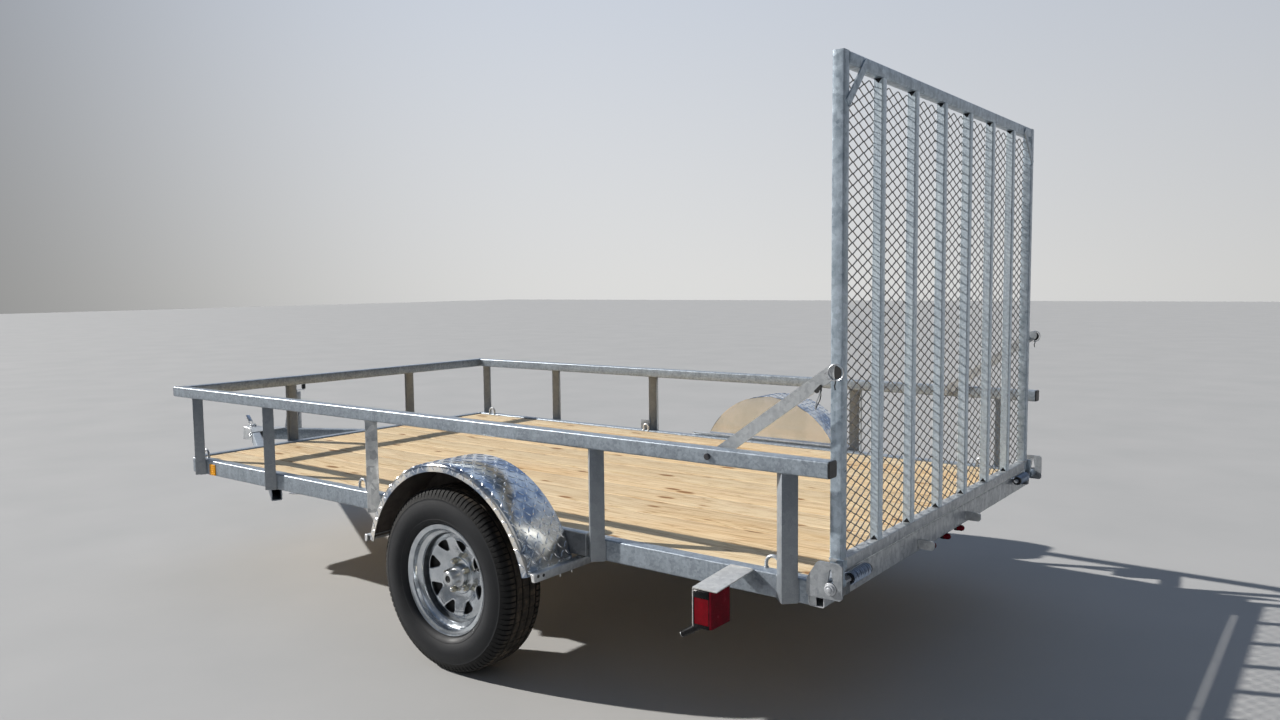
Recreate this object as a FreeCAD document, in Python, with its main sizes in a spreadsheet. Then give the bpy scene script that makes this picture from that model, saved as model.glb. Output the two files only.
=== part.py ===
import FreeCAD, Part
import Sketcher
import math
import os
import sys

from FreeCAD import Placement, Rotation, Vector

# Single-axle utility trailer: ladder frame of rectangular tube, plank deck,
# low tube rail on V posts, sprung ramp gate, A-frame tongue with coupler and
# jack.  +X is forward, +Y is the trailer's left, +Z is up, millimetres.
# Lengths along X are measured from the axle and shifted by axle_x, which puts
# the origin under the middle of the whole object, on the ground.

doc = FreeCAD.newDocument("utility_trailer")
sheet = doc.addObject("Spreadsheet::Sheet", "dims")

# alias, value, what it is
DIMS = [
    ("axle_x", -1006.5, "axle, from the middle of the whole length"),
    ("frame_top", 542.0, "top of the frame tubes"),
    ("frame_deep", 76.2, "frame tube, height"),
    ("frame_wide", 50.8, "frame tube, width"),
    ("frame_wall", 3.2, "frame tube wall"),
    ("frame_half", 1045.0, "half width over the frame"),
    ("frame_rear", -1424.0, "rear face of the rear beam"),
    ("frame_front", 2252.0, "front face of the front beam"),
    ("deck_top", 537.0, "top of the planks"),
    ("deck_thick", 33.0, "plank thickness"),
    ("deck_gap", 2.0, "gap around the planks"),
    ("plank_count", 11.0, "planks across"),
    ("groove_wide", 4.0, "gap between planks"),
    ("groove_deep", 12.0, "depth of the gap"),
    ("cross_wide", 50.8, "cross-member angle, width"),
    ("cross_deep", 38.0, "cross-member angle, height"),
    ("cross_wall", 4.8, "cross-member angle, thickness"),
    ("rail_size", 50.8, "top rail tube"),
    ("rail_wall", 3.0, "top rail wall"),
    ("rail_top", 911.0, "top of the rail"),
    ("rail_rear", -1452.0, "rear end of the side rails"),
    ("rail_proud", 40.3, "rail outer face beyond the frame face"),
    ("post_leg", 50.8, "V post leg"),
    ("post_thick", 4.8, "V post thickness"),
    ("tongue_wide", 50.8, "tongue tube, width"),
    ("tongue_deep", 76.2, "tongue tube, height"),
    ("tongue_wall", 4.8, "tongue tube wall"),
    ("tongue_angle", 28.0, "tongue tube to the centre line, degrees"),
    ("tongue_apex", 3385.0, "where the tongue centre lines meet"),
    ("tongue_len", 2035.0, "tongue tube length"),
    ("ball_x", 3455.0, "centre of the ball, from the axle"),
    ("nose_radius", 42.0, "coupler nose"),
    ("nose_low", 385.0, "underside of the coupler nose"),
    ("ball_dia", 50.8, "ball the coupler takes"),
    ("jack_x", 3185.0, "jack, from the axle"),
    ("jack_y", -203.0, "jack, sideways"),
    ("jack_tube", 57.0, "jack outer tube"),
    ("jack_inner", 49.0, "jack inner tube"),
    ("jack_pivot_z", 560.0, "height of the jack's swivel"),
    ("jack_pin", 18.0, "swivel stub radius"),
    ("jack_top", 705.0, "top of the jack tube"),
    ("jack_low", 250.0, "bottom of the jack outer tube"),
    ("wheel_y", 1183.0, "wheel centre plane"),
    ("tyre_radius", 344.0, "tyre radius"),
    ("tyre_half", 101.5, "half the tyre section"),
    ("axle_radius", 30.0, "axle tube"),
    ("axle_bore", 24.0, "axle tube bore"),
    ("spindle_radius", 20.0, "spindle"),
    ("spindle_play", 0.05, "radial clearance in the hub"),
    ("spring_y", 1020.0, "leaf spring, sideways"),
    ("spring_wide", 45.0, "leaf width"),
    ("spring_half", 330.0, "half the spring between eyes"),
    ("fender_x", -30.0, "fender arch centre"),
    ("fender_z", 345.0, "fender arch centre height"),
    ("fender_radius", 442.0, "fender arch, outside"),
    ("fender_thick", 3.0, "fender plate"),
    ("fender_in", 1068.0, "fender inner side"),
    ("fender_out", 1295.0, "fender outer side"),
    ("fender_foot", 446.0, "height of the fender ends"),
    ("fender_lip", 32.0, "outer lip"),
    ("gate_size", 38.1, "gate frame tube"),
    ("gate_wall", 2.8, "gate tube wall"),
    ("gate_half", 970.0, "half width of the gate"),
    ("gate_rear", -1441.0, "rear face of the gate"),
    ("gate_bottom", 556.0, "bottom of the gate frame"),
    ("gate_top", 2089.0, "top of the gate frame"),
    ("slat_size", 31.8, "gate slat tube"),
    ("slat_count", 6.0, "slats"),
    ("mesh_thick", 3.0, "expanded mesh"),
    ("pivot_x", -1447.0, "gate pivot"),
    ("pivot_z", 530.0, "gate pivot height"),
    ("pin_radius", 8.0, "gate hinge pin"),
    ("pin_play", 0.1, "radial clearance at the pin"),
    ("sleeve_radius", 15.0, "gate hinge sleeve"),
    ("coil_radius", 21.0, "gate spring, outside"),
    ("plate_thick", 8.0, "hinge plate"),
    ("arm_x", -1043.0, "gate arm pivot"),
    ("arm_z", 885.6, "gate arm pivot height"),
    ("arm_tip_x", -1422.0, "gate arm, gate end"),
    ("arm_tip_z", 1155.0, "gate arm, gate end height"),
    ("arm_y", 1020.0, "gate arm inner face"),
    ("arm_thick", 6.0, "gate arm thickness"),
    ("arm_wide", 40.0, "gate arm width"),
    ("arm_pin", 6.5, "gate arm bolt radius"),
    ("arm_play", 0.1, "radial clearance at the arm bolt"),
    ("lamp_x", -1102.0, "tail lamp front face"),
    ("lamp_deep", 66.0, "tail lamp, along X"),
    ("lamp_wide", 108.0, "tail lamp, width"),
    ("lamp_high", 117.0, "tail lamp, height"),
    ("lamp_out", 1257.0, "tail lamp outer side"),
    ("lamp_top", 522.0, "tail lamp top"),
    ("id_pitch", 153.0, "between the small rear lights"),
]


class Q:
    """A number together with the sheet expression that gives it."""

    def __init__(self, v, s):
        self.v = float(v)
        self.s = s

    def __add__(self, o):
        o = q(o)
        return Q(self.v + o.v, "(%s + %s)" % (self.s, o.s))

    __radd__ = __add__

    def __sub__(self, o):
        o = q(o)
        return Q(self.v - o.v, "(%s - %s)" % (self.s, o.s))

    def __rsub__(self, o):
        return q(o) - self

    def __mul__(self, o):
        o = q(o)
        return Q(self.v * o.v, "(%s * %s)" % (self.s, o.s))

    __rmul__ = __mul__

    def __truediv__(self, o):
        o = q(o)
        return Q(self.v / o.v, "(%s / %s)" % (self.s, o.s))

    def __neg__(self):
        return Q(-self.v, "(0 - %s)" % self.s)


def q(x):
    return x if isinstance(x, Q) else Q(x, "%.6f" % x)


D = {}
for i, (alias, value, note) in enumerate(DIMS, start=1):
    sheet.set("A%d" % i, alias)
    sheet.set("B%d" % i, "%s" % value)
    sheet.set("C%d" % i, note)
    sheet.setAlias("B%d" % i, alias)
    D[alias] = Q(value, "dims.%s" % alias)
doc.recompute()


def d(name):
    return D[name]


def X(value):
    """A place along X, measured from the axle."""
    return d("axle_x") + value


# local Z -> X, local X -> Y, local Y -> Z
TO_X = Rotation(Vector(1, 1, 1), 120)
# local Z -> Y, local X -> Z, local Y -> X
TO_Y = Rotation(Vector(1, 1, 1), -120)
TO_Z = Rotation()
PARTS = []       # (node, object)


def place(obj, at, rot=TO_Z):
    at = [q(a) for a in at]
    obj.Placement = Placement(Vector(at[0].v, at[1].v, at[2].v), rot)
    for axis, a in zip("xyz", at):
        obj.setExpression("Placement.Base.%s" % axis, a.s)
    return obj


def bind(obj, **props):
    for name, value in props.items():
        value = q(value)
        setattr(obj, name, value.v)
        obj.setExpression(name, value.s)
    return obj


def origin_plane(body, role):
    for f in body.Origin.OriginFeatures:
        if f.Role == role:
            return f
    raise RuntimeError(role)


def sketch_on(body, name, role="XY_Plane"):
    sk = body.newObject("Sketcher::SketchObject", name)
    sk.AttachmentSupport = [(origin_plane(body, role), "")]
    sk.MapMode = "FlatFace"
    return sk


def outline(sk, pts):
    """A closed outline through points given from the sketch origin."""
    pts = [(q(a), q(b)) for a, b in pts]
    n = len(pts)
    first = sk.GeometryCount
    for i in range(n):
        a, b = pts[i], pts[(i + 1) % n]
        sk.addGeometry(Part.LineSegment(Vector(a[0].v, a[1].v, 0), Vector(b[0].v, b[1].v, 0)), False)
    for i in range(n):
        sk.addConstraint(Sketcher.Constraint("Coincident", first + i, 2, first + (i + 1) % n, 1))
    for i, (a, b) in enumerate(pts):
        for kind, value in (("DistanceX", a), ("DistanceY", b)):
            c = sk.addConstraint(Sketcher.Constraint(kind, -1, 1, first + i, 1, value.v))
            sk.setExpression("Constraints[%d]" % c, value.s)


def prism(name, pts, length, at, rot=TO_Z, holes=()):
    """A body padded from an outline, with inner outlines left open."""
    body = doc.addObject("PartDesign::Body", name)
    body.Label = name
    sk = sketch_on(body, name + "_outline")
    outline(sk, pts)
    for h in holes:
        outline(sk, h)
    pad = body.newObject("PartDesign::Pad", name + "_pad")
    pad.Profile = sk
    bind(pad, Length=length)
    sk.Visibility = False
    place(body, at, rot)
    return body


def tube(name, wide, high, wall, length, at, rot):
    """Rectangular tube: wide along local X, high along local Y, long along local Z."""
    wide, high, wall = q(wide), q(high), q(wall)
    z = q(0)
    outer = [(z, z), (wide, z), (wide, high), (z, high)]
    inner = [(wall, wall), (wide - wall, wall), (wide - wall, high - wall), (wall, high - wall)]
    return prism(name, outer, length, at, rot, [inner])


def turned(name, pts, at, rot):
    """A body turned about its local X axis from an outline of (along, radius)."""
    body = doc.addObject("PartDesign::Body", name)
    body.Label = name
    sk = sketch_on(body, name + "_outline")
    outline(sk, pts)
    rev = body.newObject("PartDesign::Revolution", name + "_turn")
    rev.Profile = sk
    rev.ReferenceAxis = (sk, ["H_Axis"])
    rev.Angle = 360.0
    sk.Visibility = False
    place(body, at, rot)
    return body


def box(name, size, at, rot=TO_Z):
    o = doc.addObject("Part::Box", name)
    o.Label = name
    bind(o, Length=size[0], Width=size[1], Height=size[2])
    return place(o, at, rot)


def rod(name, radius, length, at, rot=TO_Z):
    o = doc.addObject("Part::Cylinder", name)
    o.Label = name
    bind(o, Radius=radius, Height=length)
    return place(o, at, rot)


def fuse(name, shapes):
    o = doc.addObject("Part::MultiFuse", name)
    o.Label = name
    o.Shapes = shapes
    return o


def cut(name, base, tool):
    o = doc.addObject("Part::Cut", name)
    o.Label = name
    o.Base = base
    o.Tool = tool
    return o


def common(name, base, tool):
    o = doc.addObject("Part::Common", name)
    o.Label = name
    o.Base = base
    o.Tool = tool
    return o


def node(name, obj):
    obj.Label = name
    PARTS.append((name, obj))
    return obj


# local Z -> +Y and local X -> +X (a cylinder standing along Y)
ALONG_Y = Rotation(Vector(1, 0, 0), -90)
# side name, sign of Y
SIDES = [("left", 1), ("right", -1)]

half = d("frame_half")
fw, fh = d("frame_wide"), d("frame_deep")
f_bot = d("frame_top") - fh

# ---------------------------------------------------------------- frame
for side, s in SIDES:
    y0 = half - fw if s > 0 else -half
    name = "side_rail_" + side
    raw = tube(name + "_tube", fw, fh, d("frame_wall"), d("frame_front") - d("frame_rear") - fw,
               (X(d("frame_rear") + fw), y0, f_bot), TO_X)
    # outer front corner cut off at 45 degrees, one tube width each way
    if s > 0:
        at, turn = (X(d("frame_front") - fw - 50), half + 50, f_bot - 20), -45
    else:
        at, turn = (X(d("frame_front") + 50), fw - half + 50, f_bot - 20), -135
    corner = box(name + "_corner", (300, 120, fh + 40), at, Rotation(Vector(0, 0, 1), turn))
    node(name, cut(name, raw, corner))
# beam name, rear face, y start, length
BEAMS = [("front_beam", d("frame_front") - fw, fw - half, 2 * (half - fw)),
         ("rear_beam", d("frame_rear"), -half, 2 * half)]
for name, x0, y0, length in BEAMS:
    bits = [tube(name + "_tube", fh, fw, d("frame_wall"), length, (X(x0), y0, f_bot), TO_Y)]
    if name == "rear_beam":
        # two plates standing out behind, seen from the side as (back from the beam, height)
        tab = [(0, 477), (-50, 477), (-60, 486), (-60, 502), (-50, 511), (0, 511)]
        for side, ty in (("left", 315.0), ("right", -185.0)):
            bits.append(prism("rear_tab_" + side, [(q(a), q(b)) for a, b in tab], 10, (X(x0), ty, 0),
                              Rotation(Vector(1, 0, 0), 90)))
        node(name, fuse(name, bits))
    else:
        node(name, bits[0])

# cross-members, evenly between the beams: angle with its flat leg under the planks
clear_x = d("frame_front") - d("frame_rear") - 2 * fw
cw, cd, ct = d("cross_wide"), d("cross_deep"), d("cross_wall")
for i in range(1, 6):
    name = "cross_member_%d" % i
    x0 = d("frame_rear") + fw + clear_x * (i / 6.0) - cw / 2
    pts = [(0, 0), (cd, 0), (cd, cw), (cd - ct, cw), (cd - ct, ct), (0, ct)]
    node(name, prism(name, pts, 2 * (half - fw), (X(x0), fw - half, d("deck_top") - d("deck_thick") - cd), TO_Y))

# deck: planks side by side, the gaps between them cut from the top
deck_len = clear_x - 2 * d("deck_gap")
deck_wide = 2 * (half - fw - d("deck_gap"))
pitch = deck_wide / d("plank_count")
th = d("deck_thick")
pts = [(q(0), q(0)), (deck_wide, q(0)), (deck_wide, th)]
for i in range(10, 0, -1):
    c = pitch * i
    g = d("groove_wide") / 2
    low = th - d("groove_deep")
    pts += [(c + g, th), (c + g, low), (c - g, low), (c - g, th)]
pts.append((q(0), th))
node("deck", prism("deck", pts, deck_len,
                   (X(d("frame_rear") + fw + d("deck_gap")), -deck_wide / 2, d("deck_top") - th), TO_X))

# ---------------------------------------------------------------- top rail and posts
rs, rw = d("rail_size"), d("rail_wall")
r_out = half + d("rail_proud")
r_front = d("frame_front") + d("rail_proud")
r_bot = d("rail_top") - rs
for side, s in SIDES:
    name = "top_rail_" + side
    y0 = r_out - rs if s > 0 else -r_out
    raw = tube(name + "_tube", rs, rs, rw, r_front - d("rail_rear"), (X(d("rail_rear")), y0, r_bot), TO_X)
    # mitre at the front corner, and the hole for the gate arm's bolt
    mitre = box(name + "_mitre", (200, 200, 2 * rs), (X(r_front), s * r_out, r_bot - rs / 2),
                Rotation(Vector(0, 0, 1), -135 if s > 0 else 45))
    hole = rod(name + "_hole", d("arm_pin") + d("arm_play"), 3 * rs,
               (X(d("arm_x")), s * (r_out - rs / 2) - 1.5 * rs, d("arm_z")), ALONG_Y)
    node(name, cut(name, raw, fuse(name + "_tools", [mitre, hole])))
raw = tube("top_rail_front_tube", rs, rs, rw, 2 * r_out, (X(r_front - rs), -r_out, r_bot), TO_Y)
tools = []
for side, s in SIDES:
    tools.append(box("top_rail_front_mitre_" + side, (200, 200, 2 * rs), (X(r_front), s * r_out, r_bot - rs / 2),
                     Rotation(Vector(0, 0, 1), 135)))
node("top_rail_front", cut("top_rail_front", raw, fuse("top_rail_front_tools", tools)))

# V posts: angle section with its heel outward and both toes on the frame
leg, pt = d("post_leg"), d("post_thick")
post_pts = [(0, 0), (leg, 0), (leg, pt), (pt, pt), (pt, leg), (0, leg)]
post_len = r_bot - f_bot
post_out = (leg + pt) / math.sqrt(2.0)
# number, place along X from the axle on the left side, and on the right side
SIDE_POSTS = [
    (1, 2107.0, 2190.0),
    (2, 1463.0, 1541.0),
    (3, 683.0, 751.0),
    (4, -558.0, -558.0),
    (5, -1303.5, -1303.5),
]
for side, s in SIDES:
    for i, px_left, px_right in SIDE_POSTS:
        px = px_left if s > 0 else px_right
        name = "post_%s_%d" % (side, i)
        turn = Rotation(Vector(0, 0, 1), -135 if s > 0 else 45)
        node(name, prism(name, post_pts, post_len, (X(px), s * (half + post_out), f_bot), turn))
# name, place along Y
for name, py in (("front_post_left", 425.0), ("front_post_right", -425.0)):
    node(name, prism(name, post_pts, post_len, (X(d("frame_front") + post_out), py, f_bot),
                     Rotation(Vector(0, 0, 1), 135)))

# ---------------------------------------------------------------- tongue
tw, td = d("tongue_wide"), d("tongue_deep")
ang = 28.0
t_bot = f_bot - td
ca, sa = math.cos(math.radians(ang)), math.sin(math.radians(ang))
for side, s in SIDES:
    name = "tongue_" + side
    # starts at the rear end, the centre line runs to the apex
    end_back = 74.0      # from the apex to the tube's front end
    L = d("tongue_len")
    cx = d("tongue_apex") - (L + end_back) * ca
    cy = (L + end_back) * sa * s
    rot = Rotation(Vector(0, 0, 1), -ang * s).multiply(TO_X)
    # corner of the section: half the width back from the centre line
    x0 = cx - tw / 2 * (sa * s)
    y0 = cy - tw / 2 * ca
    node(name, tube(name, tw, td, d("tongue_wall"), L, (X(x0), y0, t_bot), rot))

# coupler: plate and side flanges over the tube ends, a neck, and the nose round the ball
bx_ = d("ball_x")
nr = d("nose_radius")
n_low = d("nose_low")
slope = sa / ca
lip = 25.4 / ca                      # outer face of a tongue tube beside its centre line
apex = 3385.0


def out_y(x):
    """Outer face of the tongue tubes at x from the axle."""
    return (apex - x) * slope + lip


c_thick = 4.6
x_a, x_b = 3170.0, 3345.0
over = 4.0 / ca
shell = [prism("coupler_plate", [(0, -out_y(x_a) - over), (x_b - x_a, -out_y(x_b) - over),
                                 (x_b - x_a, out_y(x_b) + over), (0, out_y(x_a) + over)],
               c_thick, (X(x_a), 0, f_bot))]
for side, s in SIDES:
    fl = [(0, s * out_y(x_a)), (x_b - x_a, s * out_y(x_b)), (x_b - x_a, s * (out_y(x_b) + over)), (0, s * (out_y(x_a) + over))]
    shell.append(prism("coupler_flange_" + side, fl, f_bot + c_thick - 400, (X(x_a), 0, 400)))
shell.append(prism("coupler_neck", [(3336 - 3455.0, -54), (0, -38), (0, 38), (3336 - 3455.0, 54)],
                   f_bot + c_thick - n_low, (X(bx_), 0, n_low)))
# nose and socket as (up from the underside, radius)
UP = Rotation(Vector(0, 1, 0), -90)
shell.append(turned("coupler_nose", [(0, 0), (q(0), nr), (60, nr), (75, nr - 6), (86, nr - 19), (90, 0)],
                    (X(bx_), 0, n_low), UP))
shell.append(prism("coupler_latch", [(-63, 468), (-49, 468), (17, 540), (8, 546)], 24, (X(bx_), 12, 0),
                   Rotation(Vector(1, 0, 0), 90)))
b_r = d("ball_dia") / 2 + 0.8
socket = turned("coupler_socket", [(0, 0), (q(0), b_r), (50, b_r), (63, b_r * 0.866), (72, b_r * 0.5), (76, 0)],
                (X(bx_), 0, n_low - 10), UP)
node("coupler", cut("coupler", fuse("coupler_body", shell), socket))

# ---------------------------------------------------------------- jack
jx, jy = d("jack_x"), d("jack_y")
jr = d("jack_tube") / 2
# unit vectors in plan: along the right tongue tube towards the front, and out of its outer face
AX, AY = ca, sa
NX, NY = sa, -ca
# local Z -> outward normal of the right tongue tube, local X -> down, local Y -> along it
OUT = Rotation(Vector(0, 0, 1), ang).multiply(Rotation(Vector(1, 0, 0), 90))
centre_y = (apex - 3185.0) * slope
face = (203.0 - centre_y) * ca - 25.4     # from the tube's outer face to the jack's centre line
pz_j = d("jack_pivot_z")
outer = rod("jack_tube_outer", jr, d("jack_top") - d("jack_low"), (X(jx), jy, d("jack_low")))
collar = rod("jack_collar", 34, 22, (X(jx) - (jr + 3.0) * NX, jy - (jr + 3.0) * NY, pz_j), OUT)
bore = rod("jack_tube_bore", d("jack_inner") / 2 + 0.4, d("jack_top") - d("jack_low"), (X(jx), jy, d("jack_low") - 6))
pin_hole = rod("jack_pin_hole", d("jack_pin") + 0.05, 16, (X(jx) - (jr + 3.0) * NX, jy - (jr + 3.0) * NY, pz_j), OUT)
node("jack_tube", cut("jack_tube", fuse("jack_tube_body", [outer, collar]), fuse("jack_tube_tools", [bore, pin_hole])))
leg_o = rod("jack_leg_rod", d("jack_inner") / 2, d("jack_low") + 180, (X(jx), jy, 6))
foot = box("jack_foot_plate", (120, 100, 6), (X(jx) - 60 * AX - 50 * NX, jy - 60 * AY - 50 * NY, 0),
           Rotation(Vector(0, 0, 1), ang))
foot.setExpression("Placement.Base.x", (X(jx) - 60 * AX + 50 * NX).s)
foot.setExpression("Placement.Base.y", (jy - 60 * AY + 50 * NY).s)
node("jack_leg", fuse("jack_leg", [leg_o, foot]))
# crank arm points forward and out
CX, CY = 0.3, -0.954
node("jack_crank", fuse("jack_crank", [
    rod("crank_shaft", 8, 13, (X(jx), jy, d("jack_top"))),
    rod("crank_boss", 12, 6, (X(jx), jy, d("jack_top") + 7)),
    box("crank_bar", (118, 16, 6), (X(jx) + 8 * CY, jy - 8 * CX, d("jack_top") + 7),
        Rotation(Vector(0, 0, 1), math.degrees(math.atan2(CY, CX)))),
    rod("crank_grip", 12, 72, (X(jx) + 110 * CX, jy + 110 * CY, d("jack_top") + 13)),
]))
# bracket: plate on the tube's outer face, a boss and the swivel stub
b_back, b_ahead = 22.0, 60.0
b_low, b_high = 385.0, pz_j + 50
plate_t = 10.0
boss_t = face - 28.5 - 3.0 - 8.0          # leaves 8 mm behind the collar
bx = jx - face * NX
by = jy - face * NY
plate = box("jack_bracket_plate", (b_back + b_ahead, plate_t, b_high - b_low),
            (X(bx) - b_back * AX + plate_t * NX, by - b_back * AY + plate_t * NY, b_low),
            Rotation(Vector(0, 0, 1), ang))
boss = rod("jack_bracket_boss", 32, boss_t - 5, (X(bx) + 5 * NX, by + 5 * NY, pz_j), OUT)
stub = rod("jack_bracket_stub", d("jack_pin"), 8 + 14 + 4, (X(bx) + (boss_t - 4) * NX, by + (boss_t - 4) * NY, pz_j), OUT)
node("jack_bracket", fuse("jack_bracket", [plate, boss, stub]))

# ---------------------------------------------------------------- axle and springs
tr = d("tyre_radius")
hub_back = d("wheel_y") - 100.0
tube_end = hub_back - 14.0
ax = [
    cut("axle_tube", rod("axle_tube_o", d("axle_radius"), 2 * tube_end, (X(0), -tube_end, tr), ALONG_Y),
        rod("axle_tube_i", d("axle_bore"), 2 * (tube_end - 25), (X(0), 25 - tube_end, tr), ALONG_Y)),
]
for side, s in SIDES:
    sp_len = d("wheel_y") + 35.0 - (tube_end - 10)
    y0 = tube_end - 10 if s > 0 else -(d("wheel_y") + 35.0)
    ax.append(rod("spindle_" + side, d("spindle_radius"), sp_len, (X(0), y0, tr), ALONG_Y))
node("axle", fuse("axle", ax))

sh = d("spring_half")
sz = tr + d("axle_radius")      # underside of the spring pack
for side, s in SIDES:
    name = "spring_" + side
    y0 = s * d("spring_y") - d("spring_wide") / 2
    eye_z = f_bot - 45
    rise = eye_z - sz
    w = sh + 12
    # leaf pack seen from the side, (along from the front eye, up from the pack's underside)
    pk = [(w - 110, 0), (w + 110, 0), (w + 112, 8), (w + 210, 14), (w + 212, 22),
          (2 * w - 6, rise - 4), (2 * w - 6, rise + 4), (w + 200, 30), (w, 22), (w - 200, 30),
          (6, rise + 4), (6, rise - 4), (w - 212, 22), (w - 210, 14), (w - 112, 8)]
    lf = prism(name + "_leaves", [(a, q(b)) for a, b in pk], d("spring_wide"),
               (X(0) - w, y0 + d("spring_wide"), sz), Rotation(Vector(1, 0, 0), 90))
    bits = [lf]
    for k, ex in (("front", 1), ("rear", -1)):
        bits.append(rod("%s_eye_%s" % (name, k), 15, d("spring_wide"), (X(ex * sh), y0, eye_z), ALONG_Y))
        bits.append(box("%s_hanger_%s" % (name, k), (44, d("spring_wide"), 45 + 8),
                        (X(ex * sh) - 22, y0, eye_z - 8)))
    node(name, fuse(name, bits))

# ---------------------------------------------------------------- wheels
# outlines as (along the axle from the wheel's centre plane, radius)
th2 = d("tyre_half")
TYRE = [(-69, 190.5), (-69, 208.5), (-80, 212), (-96, 235), (-th2, 265), (-97, 300), (-86, 328), (-68, 341),
        (-42, tr), (42, tr), (68, 341), (86, 328), (97, 300), (th2, 265), (96, 235), (80, 212), (69, 208.5), (69, 190.5)]
RIM = [(76, 207.5), (69.3, 207.5), (69.3, 190), (-69.3, 190), (-69.3, 207.5), (-76, 207.5), (-76, 184), (-2, 182),
       (18, 151), (21, 141), (18, 131), (-3, 78), (-3, 42), (2, 42), (2, 76), (24, 130), (27, 140), (24, 151),
       (5, 182), (76, 184)]
bore_r = d("spindle_radius") + d("spindle_play")
HUB = [(-100, bore_r), (-100, 38), (-15, 38), (-15, 70), (-3.2, 70), (-3.2, 41), (20, 40), (30, 30), (59, 28),
       (62, 24), (62, 0), (42, 0), (42, bore_r)]
# corners of a window: degrees from its middle, radius
WINDOW = [(-9.5, 142), (-11.5, 136.5), (-3.5, 102), (0, 99), (3.5, 102), (11.5, 136.5), (9.5, 142), (0, 144)]
# local Z -> Y, local X -> Z
TO_WIN = TO_Y
# piece, outline
WHEEL = [("tyre", TYRE), ("rim", RIM), ("hub", HUB)]
for side, s in SIDES:
    for piece, prof in WHEEL:
        name = "%s_%s" % (piece, side)
        # local X becomes the axle, outward; the outlines are moved to positive lengths
        rot = Rotation(Vector(0, 0, 1), 90 * s)
        pts = [(q(a) + 110, q(b)) for a, b in prof]
        body = turned(name + "_turned", pts, (X(0), s * (d("wheel_y") - 110.0), tr), rot)
        if piece != "rim":
            node(name, body)
            continue
        # eight windows round the disc, each a rounded triangle as (angle, radius)
        win = []
        for k in range(8):
            a0 = 29.3 + 45.0 * k
            tri = []
            for da, rr in WINDOW:
                t = math.radians(a0 + da)
                tri.append((rr * math.cos(t), rr * math.sin(t)))
            win.append(prism("%s_window_%d" % (name, k + 1), tri, 200, (X(0), s * d("wheel_y") - 100, tr), TO_WIN))
        node(name, cut(name, body, fuse(name + "_windows", win)))

# ---------------------------------------------------------------- fenders
fr, ft = d("fender_radius"), d("fender_thick")
for side, s in SIDES:
    name = "fender_" + side
    fi, fo = d("fender_in"), d("fender_out")
    wide = fo - fi

    def fy(a, length):
        """Start of a piece that runs from a outward by length."""
        return a if s > 0 else -(a + length)

    cxz = (X(d("fender_x")), d("fender_z"))
    arch = cut(name + "_arch",
               rod(name + "_arch_o", fr, wide, (cxz[0], fy(fi, wide), cxz[1]), ALONG_Y),
               rod(name + "_arch_i", fr - ft, wide - 2 * ft, (cxz[0], fy(fi + ft, wide - 2 * ft), cxz[1]), ALONG_Y))
    opening = rod(name + "_opening", fr - d("fender_lip"), 4 * ft, (cxz[0], fy(fo - 2 * ft, 4 * ft), cxz[1]), ALONG_Y)
    shell = cut(name + "_shell", arch, opening)
    top_half = box(name + "_half", (3 * fr, 2 * wide, 2 * fr), (cxz[0] - 1.5 * fr, fy(fi - wide / 2, 2 * wide), d("fender_foot")))
    bits = [common(name + "_plate", shell, top_half)]
    # mounting angles at both ends, from the frame face to the outer edge
    reach = math.sqrt(442.0 ** 2 - (446.0 - 345.0) ** 2)
    for k, e in (("front", 1), ("rear", -1)):
        x0 = d("fender_x") + e * (reach - 2.0)
        wleg = fo - 6 - half
        bits.append(box("%s_brace_%s" % (name, k), (5, wleg, 30), (X(x0 if e > 0 else x0 - 5), fy(half, wleg), d("fender_foot") - 16), TO_Z))
        bits.append(box("%s_foot_%s" % (name, k), (26, wleg, 4), (X(x0 if e > 0 else x0 - 26), fy(half, wleg), d("fender_foot") - 16), TO_Z))
    node(name, fuse(name, bits))

# ---------------------------------------------------------------- gate
gs, gw, ss = d("gate_size"), d("gate_wall"), d("slat_size")
gh = d("gate_half")
g_rear, g_low, g_top = d("gate_rear"), d("gate_bottom"), d("gate_top")
px, pz = d("pivot_x"), d("pivot_z")
bits = []
for side, s in SIDES:
    y0 = gh - gs if s > 0 else -gh
    bits.append(tube("gate_upright_" + side, gs, gs, gw, g_top - g_low, (X(g_rear), y0, g_low), TO_Z))
for name, z0 in (("gate_low_tube", g_low), ("gate_top_tube", g_top - gs)):
    bits.append(tube(name, gs, gs, gw, 2 * (gh - gs), (X(g_rear), gs - gh, z0), TO_Y))
slat_pitch = (2 * gh - gs) / (d("slat_count") + 1)
for i in range(1, 7):
    y0 = gh - gs / 2 - slat_pitch * i - ss / 2
    bits.append(tube("gate_slat_%d" % i, ss, ss, gw, g_top - g_low - 2 * gs, (X(g_rear), y0, g_low + gs), TO_Z))
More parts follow.
